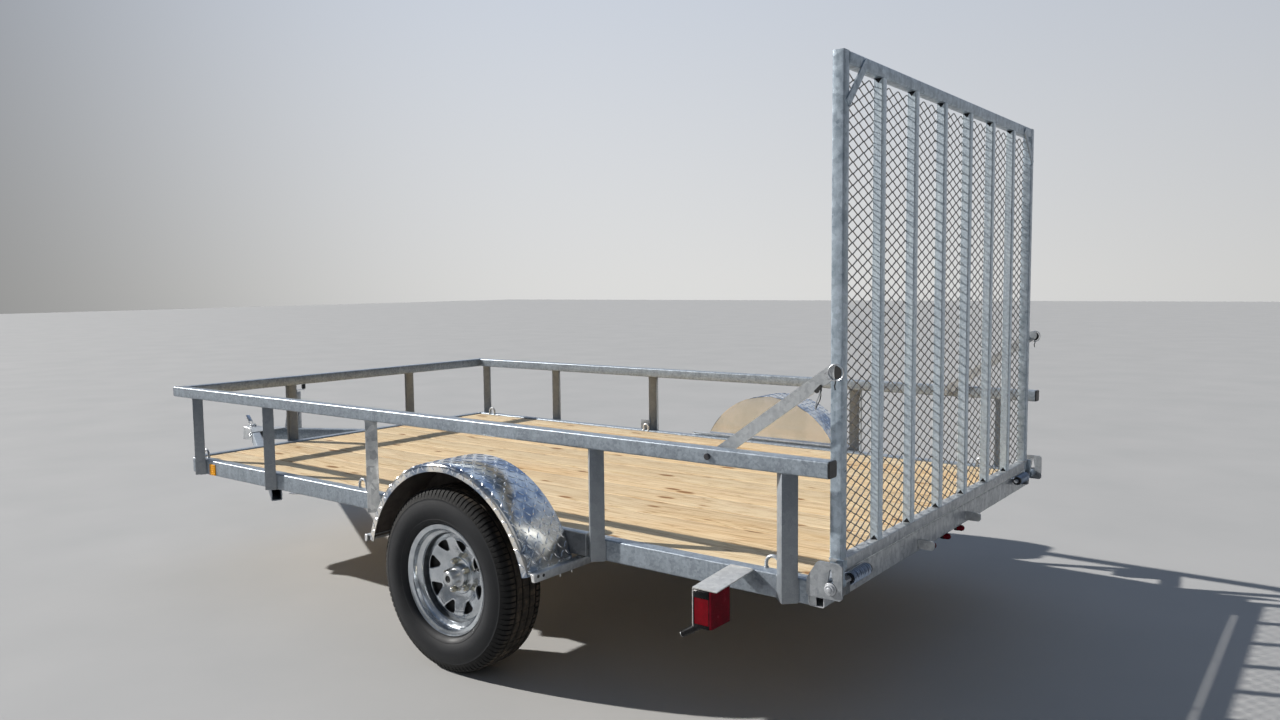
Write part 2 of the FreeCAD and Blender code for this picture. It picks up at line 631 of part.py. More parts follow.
for side, s in SIDES:
    # flat strip welded across the top corner's rear face, as (across, up)
    ya, za, yb, zb = gh - 148, g_top - 15, gh - 22, g_top - 151
    gw2 = 9.5
    strip = [(s * (ya + gw2), za + gw2 - 1), (s * (ya - gw2), za - gw2 - 1),
             (s * (yb - gw2), zb - gw2), (s * (yb + gw2), zb + gw2)]
    bits.append(prism("gate_gusset_" + side, strip, 4.5, (X(g_rear - 4), 0, 0), TO_X))
    # lug down the upright's outer side, and the sleeve on the hinge pin
    lug_t = 14.0
    lug = box("gate_lug_" + side, (23, lug_t, q(598.0) - pz), (X(px) - 8, gh if s > 0 else -(gh + lug_t), pz))
    sl = q(1041.0) - (gh + 5)
    ys = gh + 5 if s > 0 else -(gh + 5 + sl)
    bits.append(cut("gate_sleeve_" + side,
                    fuse("gate_sleeve_b_" + side, [lug, rod("gate_sleeve_o_" + side, d("sleeve_radius"), sl, (X(px), ys, pz), ALONG_Y)]),
                    rod("gate_sleeve_i_" + side, d("pin_radius") + d("pin_play"), sl + 40, (X(px), ys - 20, pz), ALONG_Y)))
    # stub that takes the gate arm's pin
    bits.append(rod("gate_stub_" + side, 12, 44, (X(d("arm_tip_x")), gh if s > 0 else -(gh + 44), d("arm_tip_z")), ALONG_Y))
node("gate_frame", fuse("gate_frame", bits))
node("gate_mesh", box("gate_mesh", (d("mesh_thick"), 2 * (gh - gs), g_top - g_low - 2 * gs),
                      (X(g_rear + ss), gs - gh, g_low + gs)))
for side, s in SIDES:
    y0 = 790.0 if s > 0 else -920.0
    node("gate_spring_" + side, cut("gate_spring_" + side,
                                    rod("gate_spring_o_" + side, d("coil_radius"), 130, (X(px), y0, pz), ALONG_Y),
                                    rod("gate_spring_i_" + side, d("pin_radius"), 130, (X(px), y0, pz), ALONG_Y)))

# hinge plates on the frame, each with its pin
PLATE = [(-1370, 505), (-1370, 560), (-1402, 606), (-1478, 608), (-1484, 602), (-1484, 506), (-1477, 499), (-1376, 499)]
for side, s in SIDES:
    name = "hinge_plate_" + side
    pts = [(q(a) + 1500.0, q(b) - 400.0) for a, b in PLATE]
    y0 = half + d("plate_thick") if s > 0 else -half
    bits = [prism(name + "_plate", pts, d("plate_thick"), (X(-1500), y0, 400), Rotation(Vector(1, 0, 0), 90))]
    bits.append(rod(name + "_head", 14, 11, (X(px), half + d("plate_thick") if s > 0 else -(half + d("plate_thick") + 11), pz), ALONG_Y))
    pl = half + 5 - 780
    bits.append(rod(name + "_pin", d("pin_radius"), pl, (X(px), 780 if s > 0 else -(half + 5), pz), ALONG_Y))
    # block under the gate's upright, welded to the rear beam, that takes the pin's inner end
    block_y = 35.0
    bits.append(box(name + "_block", (d("frame_rear") - px + 13, block_y, pz + 10 - f_bot),
                    (X(px) - 13, gh - 40 if s > 0 else -(gh - 40 + block_y), f_bot)))
    node(name, fuse(name, bits))

# gate arms: flat bar from the rail's bolt to the gate's upright
dx, dz = -1422.0 + 1043.0, 1155.0 - 885.6
arm_len = math.hypot(dx, dz)
tilt = math.degrees(math.atan2(dz, -dx))
aw, at_ = d("arm_wide"), d("arm_thick")
for side, s in SIDES:
    name = "gate_arm_" + side
    y0 = d("arm_y") if s > 0 else -(d("arm_y") + at_)
    bar_rot = Rotation(Vector(0, 1, 0), 180 + tilt)
    n = (math.sin(math.radians(tilt)), math.cos(math.radians(tilt)))
    bits = [
        box(name + "_bar", (arm_len, at_, aw),
            (X(d("arm_x")) + aw / 2 * n[0] * -1 * -1, y0, d("arm_z") + aw / 2 * n[1]), bar_rot),
        rod(name + "_end_a", aw / 2, at_, (X(d("arm_x")), y0, d("arm_z")), ALONG_Y),
        rod(name + "_end_b", aw / 2, at_, (X(d("arm_tip_x")), y0, d("arm_tip_z")), ALONG_Y),
    ]
    bolt = r_out + 9 - d("arm_y")
    bits.append(rod(name + "_bolt", d("arm_pin"), bolt, (X(d("arm_x")), d("arm_y") if s > 0 else -(r_out + 9), d("arm_z")), ALONG_Y))
    bits.append(rod(name + "_head", 11, 8, (X(d("arm_x")), r_out + 1 if s > 0 else -(r_out + 9), d("arm_z")), ALONG_Y))
    bits.append(rod(name + "_pin", 6, at_ + 2, (X(d("arm_tip_x")), d("arm_y") if s > 0 else -(d("arm_y") + at_ + 2), d("arm_tip_z")), ALONG_Y))
    node(name, fuse(name, bits))

# ---------------------------------------------------------------- lamps
for side, s in SIDES:
    name = "lamp_bracket_" + side
    lx = d("lamp_x")
    out = d("lamp_out")
    # sloping plate from the rail's top edge, seen from the rear: (out from the frame face, height)
    pts = [(0, 138), (0, 142), (out - half, 126), (out - half, 123)]
    plate_l = q(87.0)
    if s > 0:
        pl = prism(name + "_plate", [(q(a), q(b)) for a, b in pts], plate_l, (X(lx + 3) - plate_l, half, 400), TO_X)
    else:
        pl = prism(name + "_plate", [(out - half - a, q(b)) for a, b in pts], plate_l, (X(lx + 3) - plate_l, -out, 400), TO_X)
    flange = box(name + "_flange", (3, d("lamp_wide"), d("lamp_high") + 4),
                 (X(lx), out - d("lamp_wide") if s > 0 else -out, d("lamp_top") - d("lamp_high")))
    node(name, fuse(name, [pl, flange]))
    node("tail_lamp_" + side, box("tail_lamp_" + side, (d("lamp_deep"), d("lamp_wide"), d("lamp_high")),
                                  (X(lx - d("lamp_deep")), out - d("lamp_wide") if s > 0 else -out, d("lamp_top") - d("lamp_high"))))
# three small lights on a strip under the rear beam
bits = [box("id_light_strip", (14, 2 * d("id_pitch") + 40, 4), (X(d("frame_rear") + 8), -d("id_pitch") - 20, f_bot - 4))]
for k in (-1, 0, 1):
    bits.append(rod("id_light_%d" % (k + 2), 13, 38, (X(d("frame_rear") - 8), d("id_pitch") * k, f_bot - 15),
                    Rotation(Vector(0, 1, 0), 90)))
node("id_light_bar", fuse("id_light_bar", bits))

doc.recompute()

bad = []
for o in doc.Objects:
    if "Invalid" in o.State or "Error" in o.State:
        bad.append("%s: %s" % (o.Name, o.State))
for name, obj in PARTS:
    sh_ = obj.Shape
    if sh_.isNull() or not sh_.isValid():
        bad.append("%s: bad shape" % name)
    elif len(sh_.Solids) != 1:
        bad.append("%s: %d solids" % (name, len(sh_.Solids)))
        for so in sh_.Solids:
            b = so.BoundBox
            bad.append("    x %.1f %.1f  y %.1f %.1f  z %.1f %.1f" % (b.XMin, b.XMax, b.YMin, b.YMax, b.ZMin, b.ZMax))
if bad:
    print("\n".join(bad))
    sys.exit(1)

os.makedirs("parts", exist_ok=True)
total = 0.0
lo = Vector(1e9, 1e9, 1e9)
hi = Vector(-1e9, -1e9, -1e9)
for name, obj in PARTS:
    shp = obj.Shape
    shp.exportStep("parts/%s.step" % name)
    bb = shp.BoundBox
    lo = Vector(min(lo.x, bb.XMin), min(lo.y, bb.YMin), min(lo.z, bb.ZMin))
    hi = Vector(max(hi.x, bb.XMax), max(hi.y, bb.YMax), max(hi.z, bb.ZMax))
    total += shp.Volume
print("%d pieces, %.4f cubic metres" % (len(PARTS), total / 1e9))
print("box", [round(v, 2) for v in lo], [round(v, 2) for v in hi])
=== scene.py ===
import math
import random

import bpy
import bmesh
from mathutils import Matrix, Vector


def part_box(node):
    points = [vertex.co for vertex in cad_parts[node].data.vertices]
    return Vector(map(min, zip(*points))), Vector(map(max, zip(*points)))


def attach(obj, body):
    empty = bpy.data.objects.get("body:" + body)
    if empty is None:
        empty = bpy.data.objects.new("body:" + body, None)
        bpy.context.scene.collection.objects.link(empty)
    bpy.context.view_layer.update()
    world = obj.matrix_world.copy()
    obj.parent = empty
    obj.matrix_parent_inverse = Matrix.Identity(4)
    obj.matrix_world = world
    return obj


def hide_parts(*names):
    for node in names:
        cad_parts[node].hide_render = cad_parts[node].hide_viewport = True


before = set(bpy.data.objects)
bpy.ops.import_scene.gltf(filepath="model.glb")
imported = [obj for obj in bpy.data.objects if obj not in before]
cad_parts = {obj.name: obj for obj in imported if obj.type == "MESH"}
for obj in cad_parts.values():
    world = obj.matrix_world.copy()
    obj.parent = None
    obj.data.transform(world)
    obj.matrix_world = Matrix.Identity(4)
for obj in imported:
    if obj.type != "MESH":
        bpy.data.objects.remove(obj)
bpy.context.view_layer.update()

a_lo, a_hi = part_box("axle")
AX = 0.5 * (a_lo.x + a_hi.x)          # the axle, in the frame's X
FRAME_BODY = "trailer_frame"
SIDES = (("left", 1), ("right", -1))
EX, EY, EZ = Vector((1, 0, 0)), Vector((0, 1, 0)), Vector((0, 0, 1))


def P(x, y, z):
    """A place with X measured from the axle, in metres."""
    return Vector((AX + x, y, z))


# ------------------------------------------------------------------ materials
def nodes_of(name):
    m = bpy.data.materials.new(name)
    m.use_nodes = True
    nt = m.node_tree
    bsdf = nt.nodes["Principled BSDF"]
    return m, nt, bsdf


def tex(nt, kind, coord, scale=None, stretch=None, **sockets):
    n = nt.nodes.new(kind)
    if stretch is not None:
        mp = nt.nodes.new("ShaderNodeMapping")
        mp.inputs["Scale"].default_value = stretch
        nt.links.new(coord, mp.inputs["Vector"])
        coord = mp.outputs["Vector"]
    nt.links.new(coord, n.inputs["Vector"])
    if scale is not None:
        n.inputs["Scale"].default_value = scale
    for k, v in sockets.items():
        n.inputs[k].default_value = v
    return n


def ramp(nt, src, stops, interp="LINEAR"):
    r = nt.nodes.new("ShaderNodeValToRGB")
    r.color_ramp.interpolation = interp
    els = r.color_ramp.elements
    while len(els) < len(stops):
        els.new(0.5)
    for e, (pos, col) in zip(els, stops):
        e.position = pos
        e.color = (col[0], col[1], col[2], 1.0)
    nt.links.new(src, r.inputs["Fac"])
    return r


def mix(nt, fac, a, b, mode="MIX"):
    m = nt.nodes.new("ShaderNodeMix")
    m.data_type = "RGBA"
    m.blend_type = mode
    if isinstance(fac, float):
        m.inputs[0].default_value = fac
    else:
        nt.links.new(fac, m.inputs[0])
    for sock, v in ((m.inputs[6], a), (m.inputs[7], b)):
        if isinstance(v, tuple):
            sock.default_value = (v[0], v[1], v[2], 1.0)
        else:
            nt.links.new(v, sock)
    return m.outputs[2]


def rng(nt, src, lo, hi, a=0.0, b=1.0):
    m = nt.nodes.new("ShaderNodeMapRange")
    m.inputs["From Min"].default_value = a
    m.inputs["From Max"].default_value = b
    m.inputs["To Min"].default_value = lo
    m.inputs["To Max"].default_value = hi
    nt.links.new(src, m.inputs["Value"])
    return m.outputs["Result"]


def math_node(nt, op, a, b=None):
    m = nt.nodes.new("ShaderNodeMath")
    m.operation = op
    for i, v in enumerate((a, b)):
        if v is None:
            continue
        if isinstance(v, (int, float)):
            m.inputs[i].default_value = v
        else:
            nt.links.new(v, m.inputs[i])
    return m.outputs[0]


def bump(nt, bsdf, height, strength, distance):
    b = nt.nodes.new("ShaderNodeBump")
    b.inputs["Strength"].default_value = strength
    b.inputs["Distance"].default_value = distance
    nt.links.new(height, b.inputs["Height"])
    nt.links.new(b.outputs["Normal"], bsdf.inputs["Normal"])
    return b


def obj_coord(nt):
    return nt.nodes.new("ShaderNodeTexCoord").outputs["Object"]


def galvanised(name, light, dark, rough=(0.34, 0.50), metal=0.80, cell=85.0, stain=0.35, cloudy=0.35):
    """Hot-dip zinc: crystal spangles, cloudy tone and faint run marks."""
    m, nt, bs = nodes_of(name)
    co = obj_coord(nt)
    vor = tex(nt, "ShaderNodeTexVoronoi", co, cell, Randomness=1.0)
    sep = nt.nodes.new("ShaderNodeSeparateColor")
    nt.links.new(vor.outputs["Color"], sep.inputs["Color"])
    cloud = tex(nt, "ShaderNodeTexNoise", co, 22.0, Detail=6.0, Roughness=0.65)
    fine = tex(nt, "ShaderNodeTexNoise", co, 420.0, Detail=3.0, Roughness=0.65)
    runs = tex(nt, "ShaderNodeTexNoise", co, 1.0, (38.0, 38.0, 5.0), Detail=4.0, Roughness=0.6)
    mid = tuple(0.5 * (a + b) for a, b in zip(light, dark))
    spangle = ramp(nt, sep.outputs[0], [(0.0, dark), (0.5, mid), (1.0, light)])
    clouds = ramp(nt, cloud.outputs["Fac"], [(0.38, dark), (0.62, light)])
    col = mix(nt, cloudy, spangle.outputs["Color"], clouds.outputs["Color"])
    mask = ramp(nt, runs.outputs["Fac"], [(0.52, (0, 0, 0)), (0.66, (1, 1, 1))])
    col = mix(nt, math_node(nt, "MULTIPLY", mask.outputs["Color"], stain), col,
              tuple(min(1.0, c * 1.22) for c in light))
    speck = ramp(nt, fine.outputs["Fac"], [(0.35, tuple(c * 0.90 for c in light)), (0.70, (1, 1, 1))])
    col = mix(nt, 0.30, col, speck.outputs["Color"], "MULTIPLY")
    nt.links.new(col, bs.inputs["Base Color"])
    bs.inputs["Metallic"].default_value = metal
    r1 = rng(nt, sep.outputs[1], rough[0], rough[1])
    r2 = math_node(nt, "ADD", r1, rng(nt, cloud.outputs["Fac"], -0.06, 0.08))
    nt.links.new(r2, bs.inputs["Roughness"])
    h = math_node(nt, "ADD", math_node(nt, "MULTIPLY", fine.outputs["Fac"], 0.35),
                  math_node(nt, "MULTIPLY", cloud.outputs["Fac"], 1.2))
    bump(nt, bs, h, 0.30, 0.0009)
    return m


GALV = galvanised("galv_tube", (0.435, 0.49, 0.545), (0.25, 0.285, 0.325), rough=(0.30, 0.44), metal=0.50, cell=120.0, stain=0.30)
GALV_GATE = galvanised("galv_gate", (0.58, 0.66, 0.73), (0.27, 0.33, 0.39), rough=(0.28, 0.40), metal=0.50, cell=70.0, stain=0.30, cloudy=0.5)
# paler, bluer zinc for the slats than for the rest of the same gate: painted light and sky reflection
GALV_SLAT_PAINTED_LIGHT = galvanised("galv_slat_painted_light", (0.74, 0.83, 0.90), (0.52, 0.60, 0.67), rough=(0.28, 0.40), metal=0.45, cell=150.0, stain=0.35, cloudy=0.2)
# paler zinc for the rear beam and the gate's bottom tube: painted light on their rear faces, which face away from the
# key light
GALV_REAR_PAINTED_LIGHT = galvanised("galv_rear_painted_light", (0.68, 0.70, 0.71), (0.36, 0.385, 0.41), rough=(0.30, 0.44), metal=0.35, cell=75.0, stain=0.45, cloudy=0.45)
GALV_LAMP = galvanised("galv_lamp_plate", (0.74, 0.735, 0.71), (0.55, 0.545, 0.53), rough=(0.32, 0.46), metal=0.35, cell=70.0, stain=0.2)
# darker, duller zinc for the V posts than for the rails: painted shade on the posts' shaded faces
GALV_POST_PAINTED_SHADE = galvanised("galv_post_painted_shade", (0.335, 0.365, 0.395), (0.27, 0.295, 0.325), rough=(0.38, 0.50), metal=0.35, cell=60.0, stain=0.10)
# brighter zinc with strong streaks for one post: a painted reflection of light thrown off the fender
GALV_PAINTED_REFLECTION = galvanised("galv_painted_reflection", (0.88, 0.89, 0.88), (0.34, 0.36, 0.38), rough=(0.28, 0.40), metal=0.45, cell=45.0, stain=0.6)
GALV_PALE = galvanised("galv_plate", (0.60, 0.62, 0.63), (0.42, 0.44, 0.46), rough=(0.28, 0.42), metal=0.5, cell=90.0)
# darker zinc for parts under the deck and for the channel face behind the fender: painted shade
GALV_DIM = galvanised("galv_under", (0.26, 0.275, 0.29), (0.17, 0.18, 0.195), rough=(0.45, 0.6), metal=0.5, cell=60.0)
GALV_MESH = galvanised("galv_mesh", (0.30, 0.295, 0.285), (0.16, 0.155, 0.15), rough=(0.40, 0.56), metal=0.5, cell=150.0)


def plated(name, col, rough=0.26, metal=1.0):
    """Bright zinc plate with handling marks."""
    m, nt, bs = nodes_of(name)
    co = obj_coord(nt)
    n = tex(nt, "ShaderNodeTexNoise", co, 60.0, Detail=6.0, Roughness=0.65)
    s = tex(nt, "ShaderNodeTexNoise", co, 700.0, Detail=2.0)
    c = ramp(nt, n.outputs["Fac"], [(0.30, tuple(v * 0.72 for v in col)), (0.68, col)])
    nt.links.new(c.outputs["Color"], bs.inputs["Base Color"])
    bs.inputs["Metallic"].default_value = metal
    nt.links.new(rng(nt, n.outputs["Fac"], rough - 0.07, rough + 0.16), bs.inputs["Roughness"])
    bump(nt, bs, s.outputs["Fac"], 0.15, 0.0003)
    return m


ZINC = plated("zinc_plate", (0.74, 0.76, 0.78))
ZINC_PALE = plated("zinc_end", (0.90, 0.90, 0.89), 0.34, 0.55)
ZINC_BLUE = plated("zinc_spring", (0.44, 0.53, 0.68), 0.28)
NUT = plated("lug_nut", (0.70, 0.64, 0.50), 0.24)
# dark zinc for the rim's barrel and the disc's back: painted shade inside the wheel
RIM_PAINTED_SHADE = galvanised("rim_inside_painted_shade", (0.10, 0.11, 0.12), (0.055, 0.06, 0.065), rough=(0.55, 0.7), metal=0.5, cell=80.0, stain=0.1)


def wheel_radius(nt, co):
    """Distance from the wheels' axis."""
    sep = nt.nodes.new("ShaderNodeSeparateXYZ")
    nt.links.new(co, sep.inputs[0])
    dx = math_node(nt, "ADD", sep.outputs[0], -AX)
    dz = math_node(nt, "ADD", sep.outputs[2], -0.344)
    return math_node(nt, "SQRT", math_node(nt, "ADD", math_node(nt, "MULTIPLY", dx, dx), math_node(nt, "MULTIPLY", dz, dz)))


def bright_rim():
    """Smooth bright zinc with fine turned bands round the wheel's axis."""
    m, nt, bs = nodes_of("rim_zinc")
    co = obj_coord(nt)
    ring = nt.nodes.new("ShaderNodeTexNoise")
    ring.noise_dimensions = "1D"
    ring.inputs["Scale"].default_value = 260.0
    ring.inputs["Detail"].default_value = 4.0
    nt.links.new(wheel_radius(nt, co), ring.inputs["W"])
    cl = tex(nt, "ShaderNodeTexNoise", co, 14.0, Detail=5.0, Roughness=0.6)
    sp = tex(nt, "ShaderNodeTexNoise", co, 90.0, Detail=3.0)
    c = ramp(nt, cl.outputs["Fac"], [(0.30, (0.44, 0.48, 0.52)), (0.70, (0.76, 0.79, 0.82))])
    nt.links.new(c.outputs["Color"], bs.inputs["Base Color"])
    bs.inputs["Metallic"].default_value = 1.0
    nt.links.new(rng(nt, sp.outputs["Fac"], 0.12, 0.26, 0.3, 0.7), bs.inputs["Roughness"])
    h = math_node(nt, "ADD", ring.outputs["Fac"], math_node(nt, "MULTIPLY", cl.outputs["Fac"], 0.8))
    bump(nt, bs, h, 0.22, 0.0009)
    return m


RIM = bright_rim()
DARK_STEEL = plated("dark_bolt", (0.10, 0.10, 0.11), 0.36, 0.7)
BOLT = plated("zinc_bolt", (0.60, 0.62, 0.65), 0.44, 0.5)
GALV_HINGE = galvanised("galv_hinge", (0.50, 0.52, 0.54), (0.26, 0.28, 0.30), rough=(0.34, 0.48), metal=0.45, cell=80.0, stain=0.3, cloudy=0.5)


def tread_plate(name, lo, mid, hi, rough, strength):
    """Polished aluminium sheet: rolling lines and pits; its cloudy patches of colour are painted reflections."""
    m, nt, bs = nodes_of(name)
    co = obj_coord(nt)
    cl = tex(nt, "ShaderNodeTexNoise", co, 9.0, Detail=4.0, Roughness=0.55)
    fi = tex(nt, "ShaderNodeTexNoise", co, 1.0, (30.0, 520.0, 30.0), Detail=3.0)
    c = ramp(nt, cl.outputs["Fac"], [(0.42, lo), (0.50, mid), (0.58, hi)])
    nt.links.new(c.outputs["Color"], bs.inputs["Base Color"])
    bs.inputs["Metallic"].default_value = 1.0
    nt.links.new(rng(nt, cl.outputs["Fac"], rough[0], rough[1], 0.3, 0.7), bs.inputs["Roughness"])
    h = math_node(nt, "ADD", math_node(nt, "MULTIPLY", fi.outputs["Fac"], 0.25), cl.outputs["Fac"])
    bump(nt, bs, h, strength, 0.0012)
    return m


# the fender's blue and warm patches, and the back plate's blue tint, are painted reflections of sky and ground
ALU = tread_plate("tread_plate", (0.30, 0.36, 0.46), (0.70, 0.70, 0.69), (1.0, 0.945, 0.85), (0.09, 0.19), 0.28)
INSIDE = galvanised("fender_inside", (0.20, 0.175, 0.155), (0.10, 0.085, 0.075), rough=(0.5, 0.7), metal=0.35, cell=30.0, stain=0.15, cloudy=0.6)
ALU_RAISED = tread_plate("tread_plate_raised", (0.74, 0.78, 0.83), (0.84, 0.86, 0.89), (0.92, 0.92, 0.92), (0.16, 0.28), 0.10)
ALU_BACK = tread_plate("fender_back", (0.67, 0.73, 0.84), (0.72, 0.78, 0.89), (0.77, 0.82, 0.93), (0.11, 0.19), 0.04)


def rubber():
    m, nt, bs = nodes_of("tyre_rubber")
    co = obj_coord(nt)
    n = tex(nt, "ShaderNodeTexNoise", co, 12.0, Detail=6.0, Roughness=0.65)
    f = tex(nt, "ShaderNodeTexNoise", co, 900.0, Detail=2.0)
    c = ramp(nt, n.outputs["Fac"], [(0.34, (0.0045, 0.0056, 0.0080)), (0.60, (0.0080, 0.0094, 0.0122)), (0.82, (0.022, 0.0225, 0.0235))])
    nt.links.new(c.outputs["Color"], bs.inputs["Base Color"])
    nt.links.new(rng(nt, n.outputs["Fac"], 0.48, 0.72, 0.3, 0.7), bs.inputs["Roughness"])
    bs.inputs["Specular IOR Level"].default_value = 0.42
    bump(nt, bs, f.outputs["Fac"], 0.25, 0.0006)
    return m


def tread_rubber():
    """Road-worn tread: brown dust on the blocks, black in the grooves."""
    m, nt, bs = nodes_of("tread_rubber")
    co = obj_coord(nt)
    n = tex(nt, "ShaderNodeTexNoise", co, 26.0, Detail=8.0, Roughness=0.7)
    f = tex(nt, "ShaderNodeTexNoise", co, 700.0, Detail=3.0)
    c = ramp(nt, n.outputs["Fac"], [(0.36, (0.018, 0.0155, 0.0135)), (0.52, (0.046, 0.037, 0.028)), (0.72, (0.150, 0.110, 0.075))])
    top = rng(nt, wheel_radius(nt, co), 0.0, 1.0, 0.3385, 0.3425)
    col = mix(nt, top, (0.006, 0.006, 0.006), c.outputs["Color"])
    nt.links.new(col, bs.inputs["Base Color"])
    bs.inputs["Roughness"].default_value = 0.82
    bump(nt, bs, f.outputs["Fac"], 0.5, 0.0010)
    return m


TYRE, TREAD = rubber(), tread_rubber()


def plastic(name, col, rough=0.4, grain=0.0004, coat=0.0, spread=0.25, gloss=0.5):
    m, nt, bs = nodes_of(name)
    co = obj_coord(nt)
    n = tex(nt, "ShaderNodeTexNoise", co, 35.0, Detail=5.0, Roughness=0.6)
    f = tex(nt, "ShaderNodeTexNoise", co, 1100.0, Detail=2.0)
    c = ramp(nt, n.outputs["Fac"], [(0.3, tuple(v * (1 - spread) for v in col)), (0.7, tuple(min(1, v * (1 + spread)) for v in col))])
    nt.links.new(c.outputs["Color"], bs.inputs["Base Color"])
    nt.links.new(rng(nt, n.outputs["Fac"], rough - 0.06, rough + 0.12, 0.3, 0.7), bs.inputs["Roughness"])
    bs.inputs["Specular IOR Level"].default_value = gloss
    if coat:
        bs.inputs["Coat Weight"].default_value = coat
        bs.inputs["Coat Roughness"].default_value = 0.06
    bump(nt, bs, f.outputs["Fac"], 0.3, grain)
    return m


BLACK = plastic("black_plastic", (0.016, 0.016, 0.018), 0.38)
BLACK_RUBBER = plastic("black_rubber", (0.012, 0.012, 0.012), 0.6, 0.0008)
RED_SIDE = plastic("red_lens", (0.205, 0.0005, 0.007), 0.18, 0.0001, 0.05, 0.25, 0.10)
HOUSING = plastic("black_housing", (0.0035, 0.0035, 0.0045), 0.24, 0.0003, 0.0, 0.2, 0.22)
RED_REAR = plastic("red_lens_rear", (0.150, 0.0006, 0.009), 0.18, 0.0001, 0.05, 0.30, 0.10)
AMBER = plastic("amber_reflector", (0.95, 0.40, 0.002), 0.2, 0.0002, 0.2, 0.10, 0.2)


def pine():
    """Planed pine: rings drawn out along the board, knots, and each board its own tone."""
    m, nt, bs = nodes_of("pine_board")
    co = obj_coord(nt)
    att = nt.nodes.new("ShaderNodeAttribute")
    att.attribute_name = "board"
    off = nt.nodes.new("ShaderNodeVectorMath")
    off.operation = "ADD"
    nt.links.new(co, off.inputs[0])
    nt.links.new(att.outputs["Vector"], off.inputs[1])
    c = off.outputs["Vector"]
    warp = tex(nt, "ShaderNodeTexNoise", c, 1.0, (0.9, 5.0, 5.0), Detail=3.0, Roughness=0.5)
    ring = tex(nt, "ShaderNodeTexNoise", c, 1.0, (0.55, 17.0, 17.0), Detail=3.0, Roughness=0.55, Distortion=0.6)
    rings = math_node(nt, "FRACT", math_node(nt, "MULTIPLY", math_node(nt, "ADD", ring.outputs["Fac"], math_node(nt, "MULTIPLY", warp.outputs["Fac"], 0.5)), 14.0))
    line = ramp(nt, rings, [(0.0, (0.60, 0.43, 0.24)), (0.10, (0.84, 0.68, 0.44)), (0.60, (0.92, 0.775, 0.54)), (0.88, (0.78, 0.60, 0.38)), (1.0, (0.55, 0.385, 0.21))])
    fibre = tex(nt, "ShaderNodeTexNoise", c, 1.0, (9.0, 420.0, 420.0), Detail=5.0, Roughness=0.7)
    fib = ramp(nt, fibre.outputs["Fac"], [(0.30, (0.74, 0.68, 0.60)), (0.62, (1, 1, 1))])
    col = mix(nt, 0.75, line.outputs["Color"], fib.outputs["Color"], "MULTIPLY")
    streak = tex(nt, "ShaderNodeTexNoise", c, 1.0, (1.6, 85.0, 85.0), Detail=4.0, Roughness=0.65)
    stk = ramp(nt, streak.outputs["Fac"], [(0.34, (0.62, 0.50, 0.36)), (0.47, (0.95, 0.93, 0.90)), (0.62, (1.0, 1.0, 1.0))])
    col = mix(nt, 0.62, col, stk.outputs["Color"], "MULTIPLY")
    # tone of the board, and broad paler and redder stretches along it
    broad = tex(nt, "ShaderNodeTexNoise", c, 1.0, (0.7, 3.0, 3.0), Detail=3.0)
    tint = ramp(nt, broad.outputs["Fac"], [(0.32, (1.04, 1.03, 0.98)), (0.50, (1, 1, 1)), (0.70, (0.97, 0.88, 0.76))])
    col = mix(nt, 0.8, col, tint.outputs["Color"], "MULTIPLY")
    wn = nt.nodes.new("ShaderNodeTexWhiteNoise")
    wn.noise_dimensions = "1D"
    sepv = nt.nodes.new("ShaderNodeSeparateXYZ")
    nt.links.new(att.outputs["Vector"], sepv.inputs[0])
    nt.links.new(sepv.outputs[0], wn.inputs["W"])
    bt = ramp(nt, wn.outputs["Value"], [(0.0, (0.88, 0.85, 0.80)), (0.5, (1, 1, 1)), (1.0, (1.0, 0.92, 0.82))])
    col = mix(nt, 1.0, col, bt.outputs["Color"], "MULTIPLY")
    # knots
    kv = tex(nt, "ShaderNodeTexVoronoi", c, 1.0, (2.1, 6.0, 1.0), Randomness=1.0)
    kv.voronoi_dimensions = "2D"
    kw = tex(nt, "ShaderNodeTexNoise", c, 1.0, (30.0, 60.0, 60.0), Detail=3.0)
    ksep = nt.nodes.new("ShaderNodeSeparateColor")
    nt.links.new(kv.outputs["Color"], ksep.inputs["Color"])
    kd = math_node(nt, "ADD", kv.outputs["Distance"], math_node(nt, "MULTIPLY", kw.outputs["Fac"], 0.03))
    kd = math_node(nt, "ADD", kd, math_node(nt, "MULTIPLY", ksep.outputs[0], 0.085))
    knot = ramp(nt, kd, [(0.088, (1.0, 1.0, 1.0)), (0.104, (0.55, 0.55, 0.55)), (0.130, (0, 0, 0))])
    col = mix(nt, knot.outputs["Color"], col, (0.085, 0.034, 0.013))
    halo = ramp(nt, kd, [(0.09, (1, 1, 1)), (0.165, (0, 0, 0))])
    col = mix(nt, math_node(nt, "MULTIPLY", halo.outputs["Color"], 0.5), col, (0.50, 0.26, 0.09))
    # scuffs and a little grey where it is handled
    dirt = tex(nt, "ShaderNodeTexNoise", co, 3.2, Detail=7.0, Roughness=0.7)
    dm = ramp(nt, dirt.outputs["Fac"], [(0.52, (0, 0, 0)), (0.80, (1, 1, 1))])
    col = mix(nt, math_node(nt, "MULTIPLY", dm.outputs["Color"], 0.30), col, (0.42, 0.30, 0.18))
    nt.links.new(col, bs.inputs["Base Color"])
    nt.links.new(rng(nt, fibre.outputs["Fac"], 0.55, 0.78), bs.inputs["Roughness"])
    bs.inputs["Specular IOR Level"].default_value = 0.3
    h = math_node(nt, "ADD", math_node(nt, "MULTIPLY", fibre.outputs["Fac"], 0.6), math_node(nt, "MULTIPLY", rings, 0.4))
    bump(nt, bs, h, 0.45, 0.0010)
    return m


PINE = pine()


